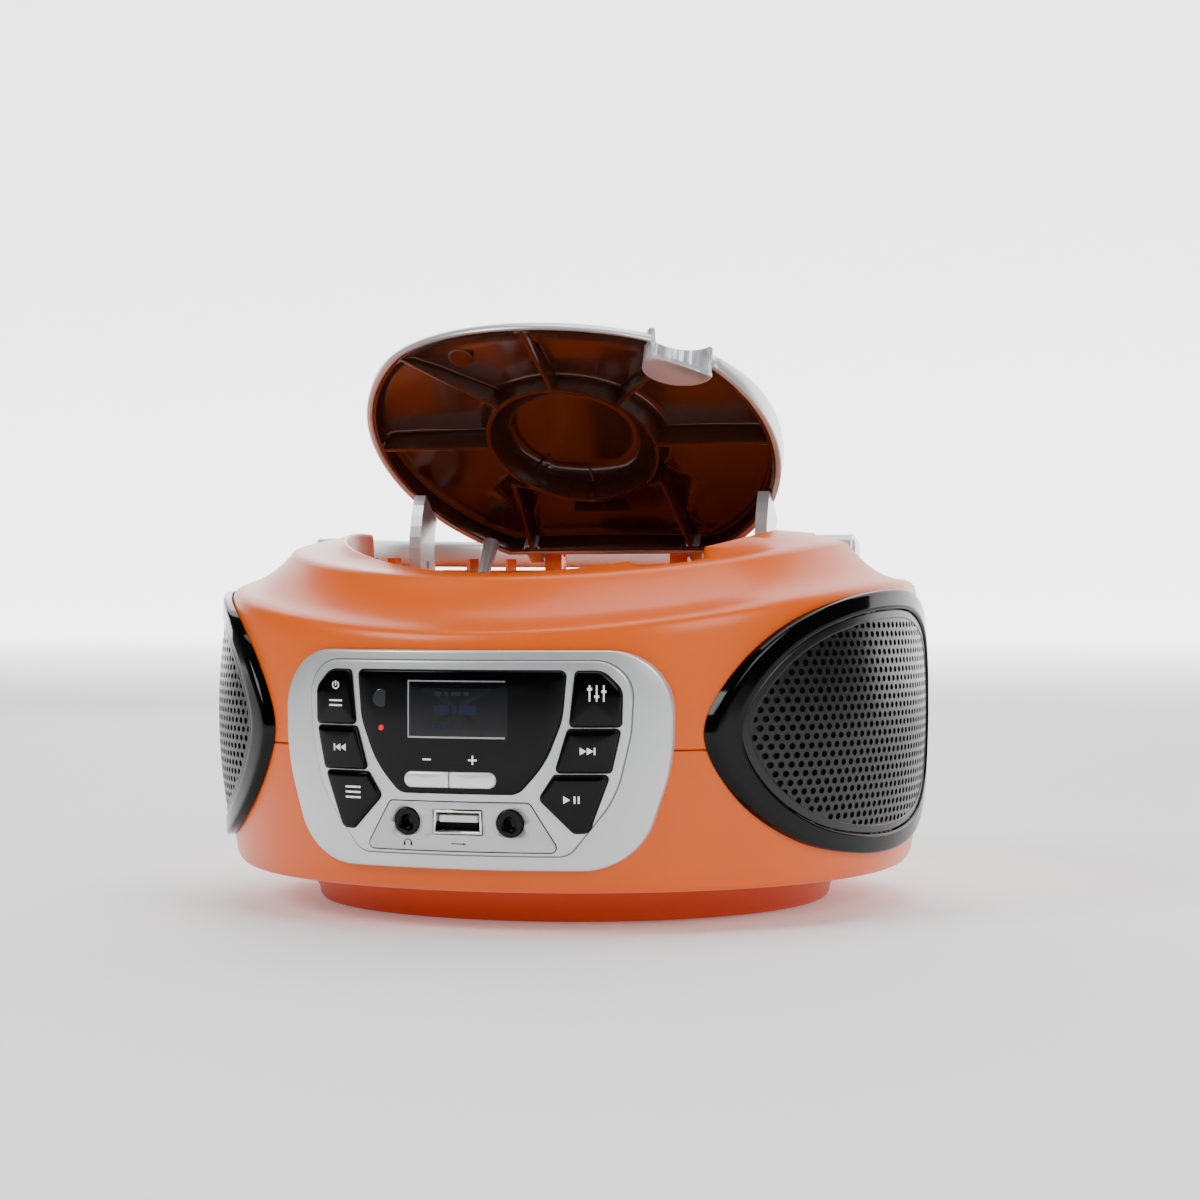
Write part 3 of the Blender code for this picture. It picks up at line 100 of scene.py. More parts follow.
CHROME = finish("chrome", (0.80, 0.80, 0.81), 0.10, metal=1.0, drift=0.02)
ACETAL = finish("white_acetal", (0.75, 0.74, 0.68), 0.42)
RUBBER = finish("rubber", (0.012, 0.012, 0.012), 0.85, grain=0.4)
RED_LAMP = finish("red_lamp", (0.75, 0.015, 0.01), 0.2, glow=0.5)
LENS = finish("lens_glass", (0.004, 0.005, 0.010), 0.04, coat=0.3, drift=0.01)
GREEN = finish("circuit_green", (0.01, 0.07, 0.03), 0.45, grain=0.2)
PAPER = finish("paper_cone", (0.015, 0.015, 0.016), 0.8, grain=0.5)
# White print that also glows a little: painted light that keeps the legends bright.
LEGEND_WITH_PAINTED_GLOW = finish("white_legend_painted_glow", (0.85, 0.85, 0.86), 0.45, glow=0.25)
LCD_BACK = finish("lcd_back", (0.0012, 0.0015, 0.003), 0.12, drift=0.02, shine=0.35)
LCD_INK = finish("lcd_ink", (0.010, 0.015, 0.034), 0.35, shine=0.2)
LCD_LINE = finish("lcd_edge", (0.34, 0.36, 0.39), 0.3, metal=0.5)
# Grey for the line round the raised frame's foot: painted shade at the step.
FRAME_FOOT_PAINTED_SHADE = finish("frame_foot_painted_shade", (0.16, 0.165, 0.17), 0.5, metal=0.4)
# Near black for the clearance gaps: painted shadow.
SEAM_PAINTED_SHADOW = finish("seam_shadow", (0.004, 0.004, 0.004), 0.9)
print("finishes:", len(bpy.data.materials))

# %% [markdown]
# CAD nodes that stay visible keep their meshes. Only their material slots change.
# %% Paint the CAD nodes
NODE_FINISH = (
    # The battery door takes the darker orange: painted shade under the body.
    (ORANGE_PAINTED_SHADE, "battery_door"),
    (MATT_BLACK, "battery_compartment lcd_module turntable cd_chassis lid_switch pickup_sled"),
    (MATT_BLACK, "aerial_base mains_inlet"),
    (STEEL, "battery_contact_l battery_contact_r speaker_driver_l speaker_driver_r spindle_motor"),
    (STEEL, "hinge_pin_l hinge_pin_r handle_pin_l handle_pin_r transformer"),
    (RUBBER, "foot_fl foot_fr foot_rl foot_rr"),
    (GLOSS_BLACK, "headphone_jack aux_jack infrared_receiver"),
    (CHROME, "usb_socket guide_rod_l guide_rod_r aerial_knuckle aerial_middle aerial_tip"),
    (SILVER, "lid_arm_l lid_arm_r lid_switch_peg"),
    (PAPER, "speaker_cone_l speaker_cone_r"),
    (GREEN, "main_board"), (RED_LAMP, "standby_light"), (LENS, "pickup_lens"), (ACETAL, "sled_gear"),
)
for paint, nodes in NODE_FINISH:
    for node in nodes.split():
        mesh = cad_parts[node].data
        mesh.materials.clear()
        mesh.materials.append(paint)
print("painted:", sum(len(nodes.split()) for _, nodes in NODE_FINISH))


# %% [markdown]
# ## Shape tools
# The cabinet is a superellipse in plan with gently barrelled walls. One formula gives the wall's place at
# any height, so panel, keys and grilles can all be laid on exactly the same curve.
# %% Cabinet formulas
BULGE = 2.06                   # exponent of the superellipse in plan
SPEAKER_TURN = radians(78)     # how far round from the front the speakers face


def wall_half(z):
    return 112 - 2.6 * (max(0, 64 - z) / 50) ** 2 - 1.5 * (max(0, z - 64) / 40) ** 2


def plan_radius(phi, half_width, half_depth=None):
    half_depth = half_depth or half_width - 1
    return ((abs(sin(phi)) / half_width) ** BULGE + (abs(cos(phi)) / half_depth) ** BULGE) ** (-1 / BULGE)


def at_angle(phi, radius, z, centre_y=0.0):
    return (radius * sin(phi), centre_y - radius * cos(phi), z)


def on_front(x, z, lift):
    half = wall_half(z) + lift
    return (x, -(half - 1) * (1 - (abs(x) / half) ** BULGE) ** (1 / BULGE), z)


def on_side(side, dome=0.0):
    """A placing function for the speaker's face: across the wall, up, and lifted off it."""
    def place(across, up, lift):
        swell = dome * max(0, 1 - ((across + 12) / 62) ** 2) * max(0, 1 - ((up - 59) / 38) ** 2)
        phi = SPEAKER_TURN
        for step in range(6):
            radius = plan_radius(phi, wall_half(up) + lift + swell)
            phi = SPEAKER_TURN + asin(max(-1, min(1, across / radius)))
        radius = plan_radius(phi, wall_half(up) + lift + swell)
        x, y, z = at_angle(phi, radius, up)
        return (side * x, y, z)
    return place


print("half width at the seam:", round(wall_half(53), 2))


# %% [markdown]
# Outlines are short lists of corners with a radius each, turned into smooth loops.
# %% Outline helpers
def rounded(corners, steps=8):
    loop = []
    count = len(corners)
    for i, (x, y, radius) in enumerate(corners):
        here = Vector((x, y))
        back = (Vector(corners[i - 1][:2]) - here).normalized()
        ahead = (Vector(corners[(i + 1) % count][:2]) - here).normalized()
        half = back.angle(ahead) / 2
        if radius <= 0 or half > pi / 2 - 0.01:
            loop.append((x, y))
            continue
        reach = radius / abs(sin(half) / cos(half))
        centre = here + (back + ahead).normalized() * (radius / sin(half))
        start, end = here + back * reach - centre, here + ahead * reach - centre
        turn = start.angle_signed(end)
        for k in range(steps + 1):
            a = -turn * k / steps
            loop.append((centre.x + start.x * cos(a) - start.y * sin(a),
                         centre.y + start.x * sin(a) + start.y * cos(a)))
    return loop


def mirrored(corners):
    return corners + [(-x, y, r) for x, y, r in reversed(corners)]


def flipped(loop):
    return [(-u, v) for u, v in reversed(loop)]


def anticlockwise(loop):
    area = sum(loop[i - 1][0] * loop[i][1] - loop[i][0] * loop[i - 1][1] for i in range(len(loop)))
    return list(loop) if area > 0 else list(reversed(loop))


def grown(loop, amount):
    """The loop pushed outwards along its own normals; a negative amount draws it in."""
    result = []
    for i, (u, v) in enumerate(loop):
        before, after = Vector(loop[i - 1]), Vector(loop[(i + 1) % len(loop)])
        along = (after - before).normalized()
        result.append((u + along.y * amount, v - along.x * amount))
    return result


def smoothed(points, steps=6):
    """A closed Catmull-Rom curve through the points."""
    count = len(points)
    loop = []
    for i in range(count):
        p0, p1, p2, p3 = (Vector(points[(i + k) % count]) for k in (-1, 0, 1, 2))
        for s in range(steps):
            t = s / steps
            spot = 0.5 * (2 * p1 + (p2 - p0) * t + (2 * p0 - 5 * p1 + 4 * p2 - p3) * t ** 2
                          + (3 * p1 - p0 - 3 * p2 + p3) * t ** 3)
            loop.append((spot.x, spot.y))
    return loop


def scaled(loop, centre, factor_u, factor_v):
    mid_u, mid_v = centre
    return [(mid_u + (u - mid_u) * factor_u, mid_v + (v - mid_v) * factor_v) for u, v in loop]


def dense(loop, reach=1.5):
    """The loop with extra points along its long runs, so that it can follow a curved face."""
    result = []
    for i, (u, v) in enumerate(loop):
        ahead = loop[(i + 1) % len(loop)]
        run = Vector((ahead[0] - u, ahead[1] - v))
        parts = max(1, int(run.length / reach))
        result += [(u + run.x * k / parts, v + run.y * k / parts) for k in range(parts)]
    return result


def middle_of(loop):
    return (sum(p[0] for p in loop) / len(loop), sum(p[1] for p in loop) / len(loop))


print("corner test:", len(rounded([(0, 0, 1), (4, 0, 1), (4, 4, 1), (0, 4, 1)])), "points")


# %% [markdown]
# A piece is made from millimetre points, has its normals made to agree, gets its finish and is shaded
# smooth below an angle, the way a moulding catches light.
# %% Piece helpers
def select_only(obj):
    bpy.ops.object.select_all(action="DESELECT")
    obj.select_set(True)
    bpy.context.view_layer.objects.active = obj


def shade(smooth=38):
    bpy.ops.object.shade_smooth_by_angle(angle=radians(smooth))


def agree(obj, merge=None):
    """Weld the points closer than the merge distance, then make the normals agree."""
    select_only(obj)
    bpy.ops.object.mode_set(mode="EDIT")
    bpy.ops.mesh.select_all(action="SELECT")
    if merge:
        bpy.ops.mesh.remove_doubles(threshold=merge)
    bpy.ops.mesh.normals_make_consistent(inside=False)
    bpy.ops.object.mode_set(mode="OBJECT")


def modified(obj, kind, **settings):
    select_only(obj)
    step = obj.modifiers.new(kind.lower(), kind)
    for setting, value in settings.items():
        setattr(step, setting, value)
    bpy.ops.object.modifier_apply(modifier=step.name)


def piece(name, points, faces, paint, smooth=38):
    mesh = bpy.data.meshes.new(name)
    mesh.from_pydata([Vector(p) * MM for p in points], [], faces)
    mesh.materials.append(paint)
    obj = bpy.data.objects.new(name, mesh)
    bpy.context.scene.collection.objects.link(obj)
    agree(obj)
    shade(smooth)
    return obj


def loft(name, rings, paint, first=None, last=None, smooth=38):
    """Skin over closed rings with the same number of points. A cap is a middle point."""
    count = len(rings[0])
    points = [p for ring in rings for p in ring]
    faces = []
    for r in range(len(rings) - 1):
        for k in range(count):
            a, b = r * count + k, r * count + (k + 1) % count
            faces.append((a, b, b + count, a + count))
    for cap, base in ((first, 0), (last, (len(rings) - 1) * count)):
        if cap is not None:
            points.append(cap)
            tip = len(points) - 1
            faces += [(base + k, base + (k + 1) % count, tip) for k in range(count)]
    return piece(name, points, faces, paint, smooth)


def plate(name, loop, low, high, edge, place, paint, rings=6, crown=0.0):
    """A plate with a rounded rim, laid on a curved face. The placing function is given (u, v, lift)."""
    loop = dense(anticlockwise(loop))
    profile = [(0, low), (0, high - edge)]
    profile += [(edge * (1 - cos(a)), high - edge * (1 - sin(a))) for a in (pi / 6, pi / 3, pi / 2)]
    hoops = [[place(u, v, lift) for u, v in (grown(loop, -inset) if inset else loop)]
             for inset, lift in profile]
    rim = grown(loop, -edge)
    centre = middle_of(rim)
    for k in range(1, rings):
        share = 1 - k / rings
        hoops.append([place(u, v, high + crown * (1 - share ** 2))
                      for u, v in scaled(rim, centre, share, share)])
    return loft(name, hoops, paint, first=place(*centre, low), last=place(*centre, high + crown))


def ring_plate(name, outer, inner, low, high, edge, place, paint, rings=3):
    """A flat frame between two loops with the same number of points."""
    outer, inner = anticlockwise(outer), anticlockwise(inner)
    bends = (pi / 6, pi / 3, pi / 2)
    hoops = [[place(u, v, low) for u, v in outer], [place(u, v, high - edge) for u, v in outer]]
    for a in bends:
        hoops.append([place(u, v, high - edge * (1 - sin(a)))
                      for u, v in grown(outer, -edge * (1 - cos(a)))])
    rim_out, rim_in = grown(outer, -edge), grown(inner, edge)
    for k in range(1, rings):
        share = k / rings
        hoops.append([place(a[0] + (b[0] - a[0]) * share, a[1] + (b[1] - a[1]) * share, high)
                      for a, b in zip(rim_out, rim_in)])
    for a in reversed(bends):
        hoops.append([place(u, v, high - edge * (1 - sin(a)))
                      for u, v in grown(inner, edge * (1 - cos(a)))])
    hoops += [[place(u, v, high - edge) for u, v in inner], [place(u, v, low) for u, v in inner]]
    hoops.append(hoops[0])
    obj = loft(name, hoops, paint)
    agree(obj, merge=0.000002)
    shade()
    return obj


def prism(name, loop, low, high, axes, paint):
    """A straight extrusion of a loop. Axes are the directions of u, v and depth."""
    across, up, out = (Vector(a) for a in axes)
    ends = [[tuple(across * u + up * v + out * depth) for u, v in loop] for depth in (low, high)]
    count = len(loop)
    faces = [(k, (k + 1) % count, (k + 1) % count + count, k + count) for k in range(count)]
    faces += [tuple(reversed(range(count))), tuple(range(count, 2 * count))]
    return piece(name, ends[0] + ends[1], faces, paint)


FRONT = ((1, 0, 0), (0, 0, 1), (0, 1, 0))
SIDE = ((0, 1, 0), (0, 0, 1), (1, 0, 0))
TOP = ((1, 0, 0), (0, 1, 0), (0, 0, 1))


def drum(name, radius, depth, centre, paint, axis=(0, 0, 1), sides=48, radius_2=None):
    turn = Vector((0, 0, 1)).rotation_difference(Vector(axis)).to_euler()
    bpy.ops.object.select_all(action="DESELECT")
    bpy.ops.mesh.primitive_cone_add(vertices=sides, radius1=radius * MM, depth=depth * MM,
                                    radius2=(radius if radius_2 is None else radius_2) * MM,
                                    location=Vector(centre) * MM, rotation=turn)
    return named(name, paint)


def block(name, size, centre, paint, turn_z=0.0):
    bpy.ops.object.select_all(action="DESELECT")
    bpy.ops.mesh.primitive_cube_add(size=1, location=Vector(centre) * MM, rotation=(0, 0, turn_z),
                                    scale=Vector(size) * MM)
    return named(name, paint)


def named(name, paint):
    obj = bpy.context.object
    obj.name = name
    obj.data.name = name
    obj.data.materials.append(paint)
    bpy.ops.object.transform_apply(location=True, rotation=True, scale=True)
    shade()
    return obj


def boolean(target, tool, operation, solver="EXACT"):
    modified(target, "BOOLEAN", operation=operation, object=tool, solver=solver)
    bpy.data.objects.remove(tool)


def bevel(obj, width, segments=3, angle=40):
    modified(obj, "BEVEL", width=width * MM, segments=segments, limit_method="ANGLE",
             angle_limit=radians(angle))
    shade()


def join_pieces(name, parts):
    bpy.ops.object.select_all(action="DESELECT")
    for part in parts:
        part.select_set(True)
    bpy.context.view_layer.objects.active = parts[0]
    bpy.ops.object.join()
    parts[0].name = name
    return parts[0]


print("tools ready")


# %% [markdown]
# ## The cabinet top
# One moulding: barrelled wall, a soft crease, a scooped shoulder up to a round collar, then the conical
# disc well. It is lofted from rings at even angles, with angles paired closely where the collar stops
# for the handle.
# %% Ring shapes of the top
SPINDLE_Y, HINGE_Y, HINGE_Z = -13.7, 49.2, 112.0
PIVOT_Y, PIVOT_Z = 3.0, 112.3            # where the carry handle turns
STEP_OUTER, STEP_INNER = radians(86.4), radians(97.0)
NOTCH_X, NOTCH_Y, NOTCH_R = 46.0, -59.7, 11.0


def even_angles(count):
    half = [pi * k / count for k in range(count + 1)]
    half = [a for a in half if min(abs(a - STEP_OUTER), abs(a - STEP_INNER)) > radians(0.9)]
    for step in (STEP_OUTER, STEP_INNER):
        half += [step - radians(0.35), step + radians(0.35)]
    half.sort()
    return half + [2 * pi - a for a in reversed(half[1:-1])]


def behind(phi, step):
    return min(phi, 2 * pi - phi) > step


def crease_z(phi):
    low = 87 if cos(phi) > 0 else 99
    return low + (102 - low) * sin(phi) ** 2


def bay_radius(phi, gap=0.0):
    edge = 70.5 - 3.5 * max(0.0, cos(phi)) ** 2 - gap
    return min(edge, (59.3 - gap) / -cos(phi)) if -cos(phi) > 0.01 else edge


def rim_z(phi):
    return 118 - 14 * max(0.0, cos(phi)) ** 1.5


def lid_droop(y):
    return 11.8 * (max(0.0, -18.0 - y) / 60.0) ** 2


def collar_outer(phi):
    if behind(phi, STEP_OUTER):
        return 93.6, 105.4
    return 92.0, rim_z(phi) - 4.0 + 1.5 * max(0.0, cos(phi))


def well_radius(phi, radius):
    return min(radius, bay_radius(phi) - 1.6)


def top_rings():
    angles = even_angles(80)

    def ring(rule):
        return [rule(phi) for phi in angles]

    def wall(z, inset=0.0):
        return ring(lambda phi: at_angle(phi, plan_radius(phi, wall_half(z) - inset), z))

    def near_crease(drop, inset):
        return ring(lambda phi: at_angle(phi, plan_radius(phi, wall_half(crease_z(phi) - drop) - inset),
                                         crease_z(phi) - drop))

    def scoop(reach, rise):
        def rule(phi):
            radius, top = collar_outer(phi)
            low = crease_z(phi) + 0.6
            outer = plan_radius(phi, wall_half(low) - 3.2)
            return at_angle(phi, outer + (radius - outer) * reach, low + (top - low) * rise)
        return ring(rule)

    def collar_inner(out, up):
        def rule(phi):
            if behind(phi, STEP_OUTER):
                return at_angle(phi, 79.2 + out * 0.1, 105.4)
            radius, top = collar_outer(phi)
            return at_angle(phi, radius - 5.0 + 2.0 * cos(phi) + out, top + 1.6 + up)
        return ring(rule)

    def ear(phi):
        high = 106.4 if behind(phi, STEP_INNER) else rim_z(phi) - 0.6
        return at_angle(phi, 78.8 + 6.4 * max(0.0, cos(phi)) ** 2, high)

    def edge(inward, drop):
        def rule(phi):
            top = 106.4 if behind(phi, STEP_INNER) else rim_z(phi)
            return at_angle(phi, bay_radius(phi) - inward, top - drop, SPINDLE_Y)
        return ring(rule)

    def seat(phi):
        x, y, z = at_angle(phi, bay_radius(phi) - 1.0, 0.0, SPINDLE_Y)
        return (x, y, min(107.6, 113.2 - lid_droop(y)) - 1.4)

    def well(radius, z):
        return ring(lambda phi: at_angle(phi, well_radius(phi, radius), z, SPINDLE_Y))

    climb = ((0.08, 0.035), (0.25, 0.12), (0.42, 0.245), (0.6, 0.42), (0.75, 0.61), (0.88, 0.8),
             (0.95, 0.915), (0.985, 0.975), (1.0, 1.0))
    shoulder = [scoop(reach, rise) for reach, rise in climb]
    return [wall(53.15, 0.35), wall(53.5), wall(58), wall(64), wall(70), wall(76), near_crease(8.0, 0.0),
            near_crease(5.5, 0.0), near_crease(3.4, 0.12), near_crease(1.6, 0.5), near_crease(0.6, 1.15),
            near_crease(0.0, 2.0), *shoulder, collar_inner(2.4, -0.75), collar_inner(0.0, 0.0), ring(ear),
            edge(-0.5, 0.0), edge(0.25, 0.12), edge(0.8, 0.6), edge(1.0, 1.4), ring(seat),
            well(64.0, 98.0), well(62.6, 95.5), well(62.0, 95.0)]


print("top rings:", len(top_rings()))


# %% [markdown]
# The hollow under the top is cut away with a second loft, so the slots in the deck look into a real space.
# The Boolean uses the manifold solver, which keeps a thin moulding closed.
# %% Cabinet top
def cavity(paint):
    angles = [2 * pi * k / 48 for k in range(48)]

    def side(z_rule, inset):
        return [at_angle(phi, plan_radius(phi, wall_half(z_rule(phi)) - inset), z_rule(phi))
                for phi in angles]

    def ceiling(phi):
        return min(102.8, rim_z(phi) - 3.2)

    def below_collar(phi):
        radius, top = collar_outer(phi)
        return at_angle(phi, radius - 4.0, min(105.4, top) - 3.2)

    def round_well(extra, rule):
        return [at_angle(phi, well_radius(phi, 64.0) + extra, rule(phi), SPINDLE_Y) for phi in angles]

    rings = [side(lambda phi: 50.0, 2.2), side(lambda phi: crease_z(phi) - 7.0, 2.2),
             side(lambda phi: crease_z(phi) - 3.4, 6.0), [below_collar(phi) for phi in angles],
             round_well(6.4, ceiling), round_well(2.4, lambda phi: 96.5), round_well(0.2, lambda phi: 92.8)]
    return loft("cavity", rings, paint, first=(0, 0, 50.0), last=(0, SPINDLE_Y, 92.8))


top = loft("cabinet_top", top_rings(), ORANGE, first=(0, 0, 53.15), last=(0, SPINDLE_Y, 95.0))
boolean(top, cavity(ORANGE), "DIFFERENCE", "MANIFOLD")
pocket = drum("notch_pocket", NOTCH_R + 4.4, 11.4, (NOTCH_X, NOTCH_Y, 98.2), ORANGE, sides=64)
boolean(pocket, drum("disc_room", 62.0, 12.0, (0, SPINDLE_Y, 104.0), ORANGE, sides=96), "DIFFERENCE")
boolean(top, pocket, "UNION", "MANIFOLD")
boolean(top, drum("scallop", NOTCH_R + 2.2, 40.0, (NOTCH_X, NOTCH_Y, 114.4), ORANGE, sides=64),
        "DIFFERENCE", "MANIFOLD")
print("cabinet top faces:", len(top.data.polygons))

# %% [markdown]
# Openings in the deck: the hub, the pickup's slot, the arms' slots, the switch peg and the handle pivots.
# %% Deck openings
SLOT = rounded([(-13, 4, 2), (13, 4, 2), (13, 42, 6), (-13, 42, 6)])
deck_cuts = [drum("hub_hole", 16.5, 14.0, (0, SPINDLE_Y, 95.0), ORANGE, sides=64),
             block("peg_slot", (8.0, 14.0, 24.0), (-42.0, 34.0, 102.0), ORANGE),
             prism("pickup_slot", SLOT, 88, 102, TOP, ORANGE)]
for side in (-1, 1):
    deck_cuts.append(block("arm_slot", (6.4, 31.0, 44.0), (side * 60.0, 21.5, 100.0), ORANGE))
    deck_cuts.append(drum("pivot_hole", 2.5, 16.0, (side * 77, PIVOT_Y, PIVOT_Z), ORANGE, (1, 0, 0), 24))
deck_cuts.append(block("aerial_seat", (13.6, 30.0, 24.0), (53.0, 101.0, 110.0), ORANGE))
for tool in deck_cuts:
    boolean(top, tool, "DIFFERENCE", "MANIFOLD")
print("deck openings:", len(deck_cuts))

# %% [markdown]
# Front and sides are opened where the control panel and the speakers sit.
# %% Panel and speaker openings
PANEL = rounded(mirrored([(59.6, 81.6, 17), (59.3, 50, 60), (49.5, 18.9, 20)]), 14)
FRAME = rounded(mirrored([(49.6, 78.6, 10), (48.6, 58, 30), (44.5, 40, 30), (31.5, 23.2, 6)]), 12)
BEZEL_CENTRE = (-12.0, 59.0)
BEZEL = smoothed([(-75, 57), (-68, 75), (-53, 88.5), (-32, 96), (-8, 99), (16, 98), (36, 90), (47, 74),
                  (48, 54), (41, 37), (25, 25), (2, 20), (-24, 20.2), (-48, 25.5), (-66, 38)], 10)
GRILLE = scaled(BEZEL, BEZEL_CENTRE, 0.88, 0.845)


def speaker_axes(side):
    return ((side * cos(SPEAKER_TURN), sin(SPEAKER_TURN), 0), (0, 0, 1),
            (side * sin(SPEAKER_TURN), -cos(SPEAKER_TURN), 0))


def front_opening(target):
    boolean(target, prism("front_opening", FRAME, -140, -80, FRONT, ORANGE), "DIFFERENCE", "MANIFOLD")
    for side in (-1, 1):
        hole = scaled(BEZEL, BEZEL_CENTRE, 0.8, 0.76)
        boolean(target, prism("speaker_opening", hole, 20, 160, speaker_axes(side), ORANGE),
                "DIFFERENCE", "MANIFOLD")


front_opening(top)
for side in (-1, 1):
    arch = [(HINGE_Y + 3.0 * cos(a), HINGE_Z + 3.0 * sin(a)) for a in (radians(9 * k) for k in range(21))]
    arch += [(HINGE_Y - 3.0, 105.4), (HINGE_Y + 3.0, 105.4)]
    near, far = sorted((side * 19.5, side * 25.6))
    ear = prism("hinge_ear", arch, near, far, SIDE, ORANGE)
    boolean(top, ear, "UNION", "MANIFOLD")
    for angle in (101, 111, 137, 148):
        x, y, z = at_angle(side * radians(angle), 73.6, 107.4, SPINDLE_Y)
        tab = block("deck_tab", (3.4, 3.2, 5.6), (x, y, z), ORANGE, side * radians(angle - 90))
        boolean(top, tab, "UNION", "MANIFOLD")
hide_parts("upper_shell")
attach(top, "cabinet")
print("cabinet top:", len(top.data.polygons), "faces")


# %% [markdown]
# ## The cabinet bottom
# The lower half meets the top at a fine parting line, turns under in a small radius and stands on a
# narrower plinth. The plinth and the underside are painted a darker orange: painted shade for the shade of
# the body.
# %% Cabinet bottom
def bottom_rings():
    angles = [2 * pi * k / 160 for k in range(160)]
    profile = [(79.5, 2.0), (80.0, 0.9), (80.8, 0.5), (82.0, 0.7), (82.8, 1.8), (83.1, 4.0),
               (85.6, 8.0), (86.2, 10.2), (86.4, 11.4), (95.0, 11.5), (103.0, 11.6),
               (105.4, 11.9), (107.0, 12.6), (108.2, 13.9), (109.0, 15.6),
               (109.35, 17.5)]
    rings = [[at_angle(phi, plan_radius(phi, r, r - 0.6), z) for phi in angles] for r, z in profile]
    for z in (22.0, 28.0, 36.0, 44.0, 52.5):
        rings.append([at_angle(phi, plan_radius(phi, wall_half(z)), z) for phi in angles])
    rings.append([at_angle(phi, plan_radius(phi, wall_half(52.85) - 0.35), 52.85) for phi in angles])
    inner = [(107.2, 52.85), (106.9, 36.0), (106.4, 18.0), (104.0, 14.2), (84.0, 13.6), (80.0, 4.2)]
    for r, z in inner:
        rings.append([at_angle(phi, plan_radius(phi, r, r - 0.6), z) for phi in angles])
    return rings


bottom = loft("cabinet_bottom", bottom_rings(), ORANGE, first=(0, 0, 2.0), last=(0, 0, 4.2))
BATTERY = rounded([(-56, -44, 3), (56, -44, 3), (56, 28, 3), (-56, 28, 3)], 4)
INLET = rounded([(-29.3, 23.2, 3), (-10.7, 23.2, 3), (-10.7, 36.8, 3), (-29.3, 36.8, 3)], 5)
boolean(bottom, prism("battery_opening", BATTERY, -4, 9, TOP, ORANGE), "DIFFERENCE", "MANIFOLD")
boolean(bottom, prism("inlet_opening", INLET, 95, 125, FRONT, ORANGE), "DIFFERENCE", "MANIFOLD")
front_opening(bottom)
# Faces below 11.3 mm, plinth and underside, take the darker orange: painted shade.
bottom.data.materials.append(ORANGE_PAINTED_SHADE)
for face in bottom.data.polygons:
    if face.center.z < 0.0113:
        face.material_index = 1
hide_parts("lower_shell")
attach(bottom, "cabinet")
print("cabinet bottom:", len(bottom.data.polygons), "faces")


# %% [markdown]
# ## The control panel
# A silver plate follows the cabinet's curve. A second, slightly prouder frame inside it carries the
# window, the keys and the ports, which gives the double outline.
# %% Panel and raised frame
GAP_TOP = 3.46            # lift of the dark gap plates, just over the raised frame
JACK_X, PORT_Z = 15.5, 32.6
PORTS = rounded([(-21.0, 38.3, 1.5), (-29.4, 24.3, 1.5), (29.4, 24.3, 1.5), (21.0, 38.3, 1.5)], 5)
WINDOW = rounded(mirrored([(31.4, 75.7, 1.5), (30.2, 62, 20), (25.4, 49.5, 30), (17.8, 41.0, 5)]), 8)
KEYS = {
    "top": rounded([(34.2, 75.6, 1), (41.5, 75.6, 5), (46.4, 70.5, 5), (46.2, 60.2, 1),
                    (32.6, 60.2, 1)], 6),
    "middle": rounded([(32.1, 59.2, 1), (46.0, 59.2, 1), (43.4, 47.2, 1), (28.6, 47.2, 1)], 6),
    "bottom": rounded([(28.2, 46.2, 1), (43.0, 46.2, 1), (37.2, 30.2, 2), (33.4, 30.0, 2),
                       (24.0, 39.6, 1.5)], 6),
}
panel = plate("control_panel", PANEL, 0.3, 2.6, 0.7, on_front, SILVER, rings=8)
raised = plate("panel_frame", FRAME, 1.0, 3.4, 0.5, on_front, SILVER, rings=8)
frame_line = dense(anticlockwise(FRAME))
# A grey band round the raised frame's foot is painted shade at the step.
frame_foot_shade = ring_plate("frame_foot_shade_line", grown(frame_line, 0.35), grown(frame_line, -1.0), 2.2, 2.66, 0.03,
                    on_front, FRAME_FOOT_PAINTED_SHADE, rings=2)
ports = plate("port_plate_face", PORTS, 1.0, 3.75, 0.35, on_front, GREY, rings=5)
USB = rounded([(-7.6, 28.9, 0.6), (7.6, 28.9, 0.6), (7.6, 36.3, 0.6), (-7.6, 36.3, 0.6)], 3)
# A dark plate round the port plate is painted shadow in the gap at its edge.
port_gap = plate("port_gap", grown(anticlockwise(PORTS), 0.3), 3.06, GAP_TOP, 0.03, on_front, SEAM_PAINTED_SHADOW,
                 rings=5)
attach(frame_foot_shade, "cabinet")
for target in (panel, raised, port_gap, ports):
    for x in (-JACK_X, JACK_X):
        boolean(target, drum("jack_hole", 4.1, 60, (x, -110, PORT_Z), GREY, (0, 1, 0), 40), "DIFFERENCE")
    boolean(target, prism("usb_hole", USB, -140, -80, FRONT, GREY), "DIFFERENCE")
    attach(target, "cabinet")
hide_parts("front_panel")
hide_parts("port_plate")
print("panel laid on the front")


# %% [markdown]
# Every key sits in a dark clearance gap. The gap is a thin plate of painted shadow just over the frame, a
# touch larger than the key, so it reads as a shadow line all round.
# %% Gaps and keys
def gap_under(name, loop, amount, level):
    shadow = plate(name, grown(anticlockwise(loop), amount), level - 0.4, level, 0.03, on_front,
                   SEAM_PAINTED_SHADOW, rings=5)
    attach(shadow, "cabinet")


NAMES = {-1: ("power", "skip_back", "menu"), 1: ("eq", "skip_forward", "play")}
keys = {}
for side, bodies in NAMES.items():
    for body, loop in zip(bodies, KEYS.values()):
        outline = loop if side > 0 else flipped(loop)
        gap_under(f"{body}_gap", outline, 0.42, GAP_TOP)
        key = plate(f"{body}_key", outline, 1.9, 4.5, 0.55, on_front, GLOSS_BLACK, rings=5, crown=0.12)
        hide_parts(f"{body}_button")
        keys[body] = (key, middle_of(outline))
print("keys:", list(keys))

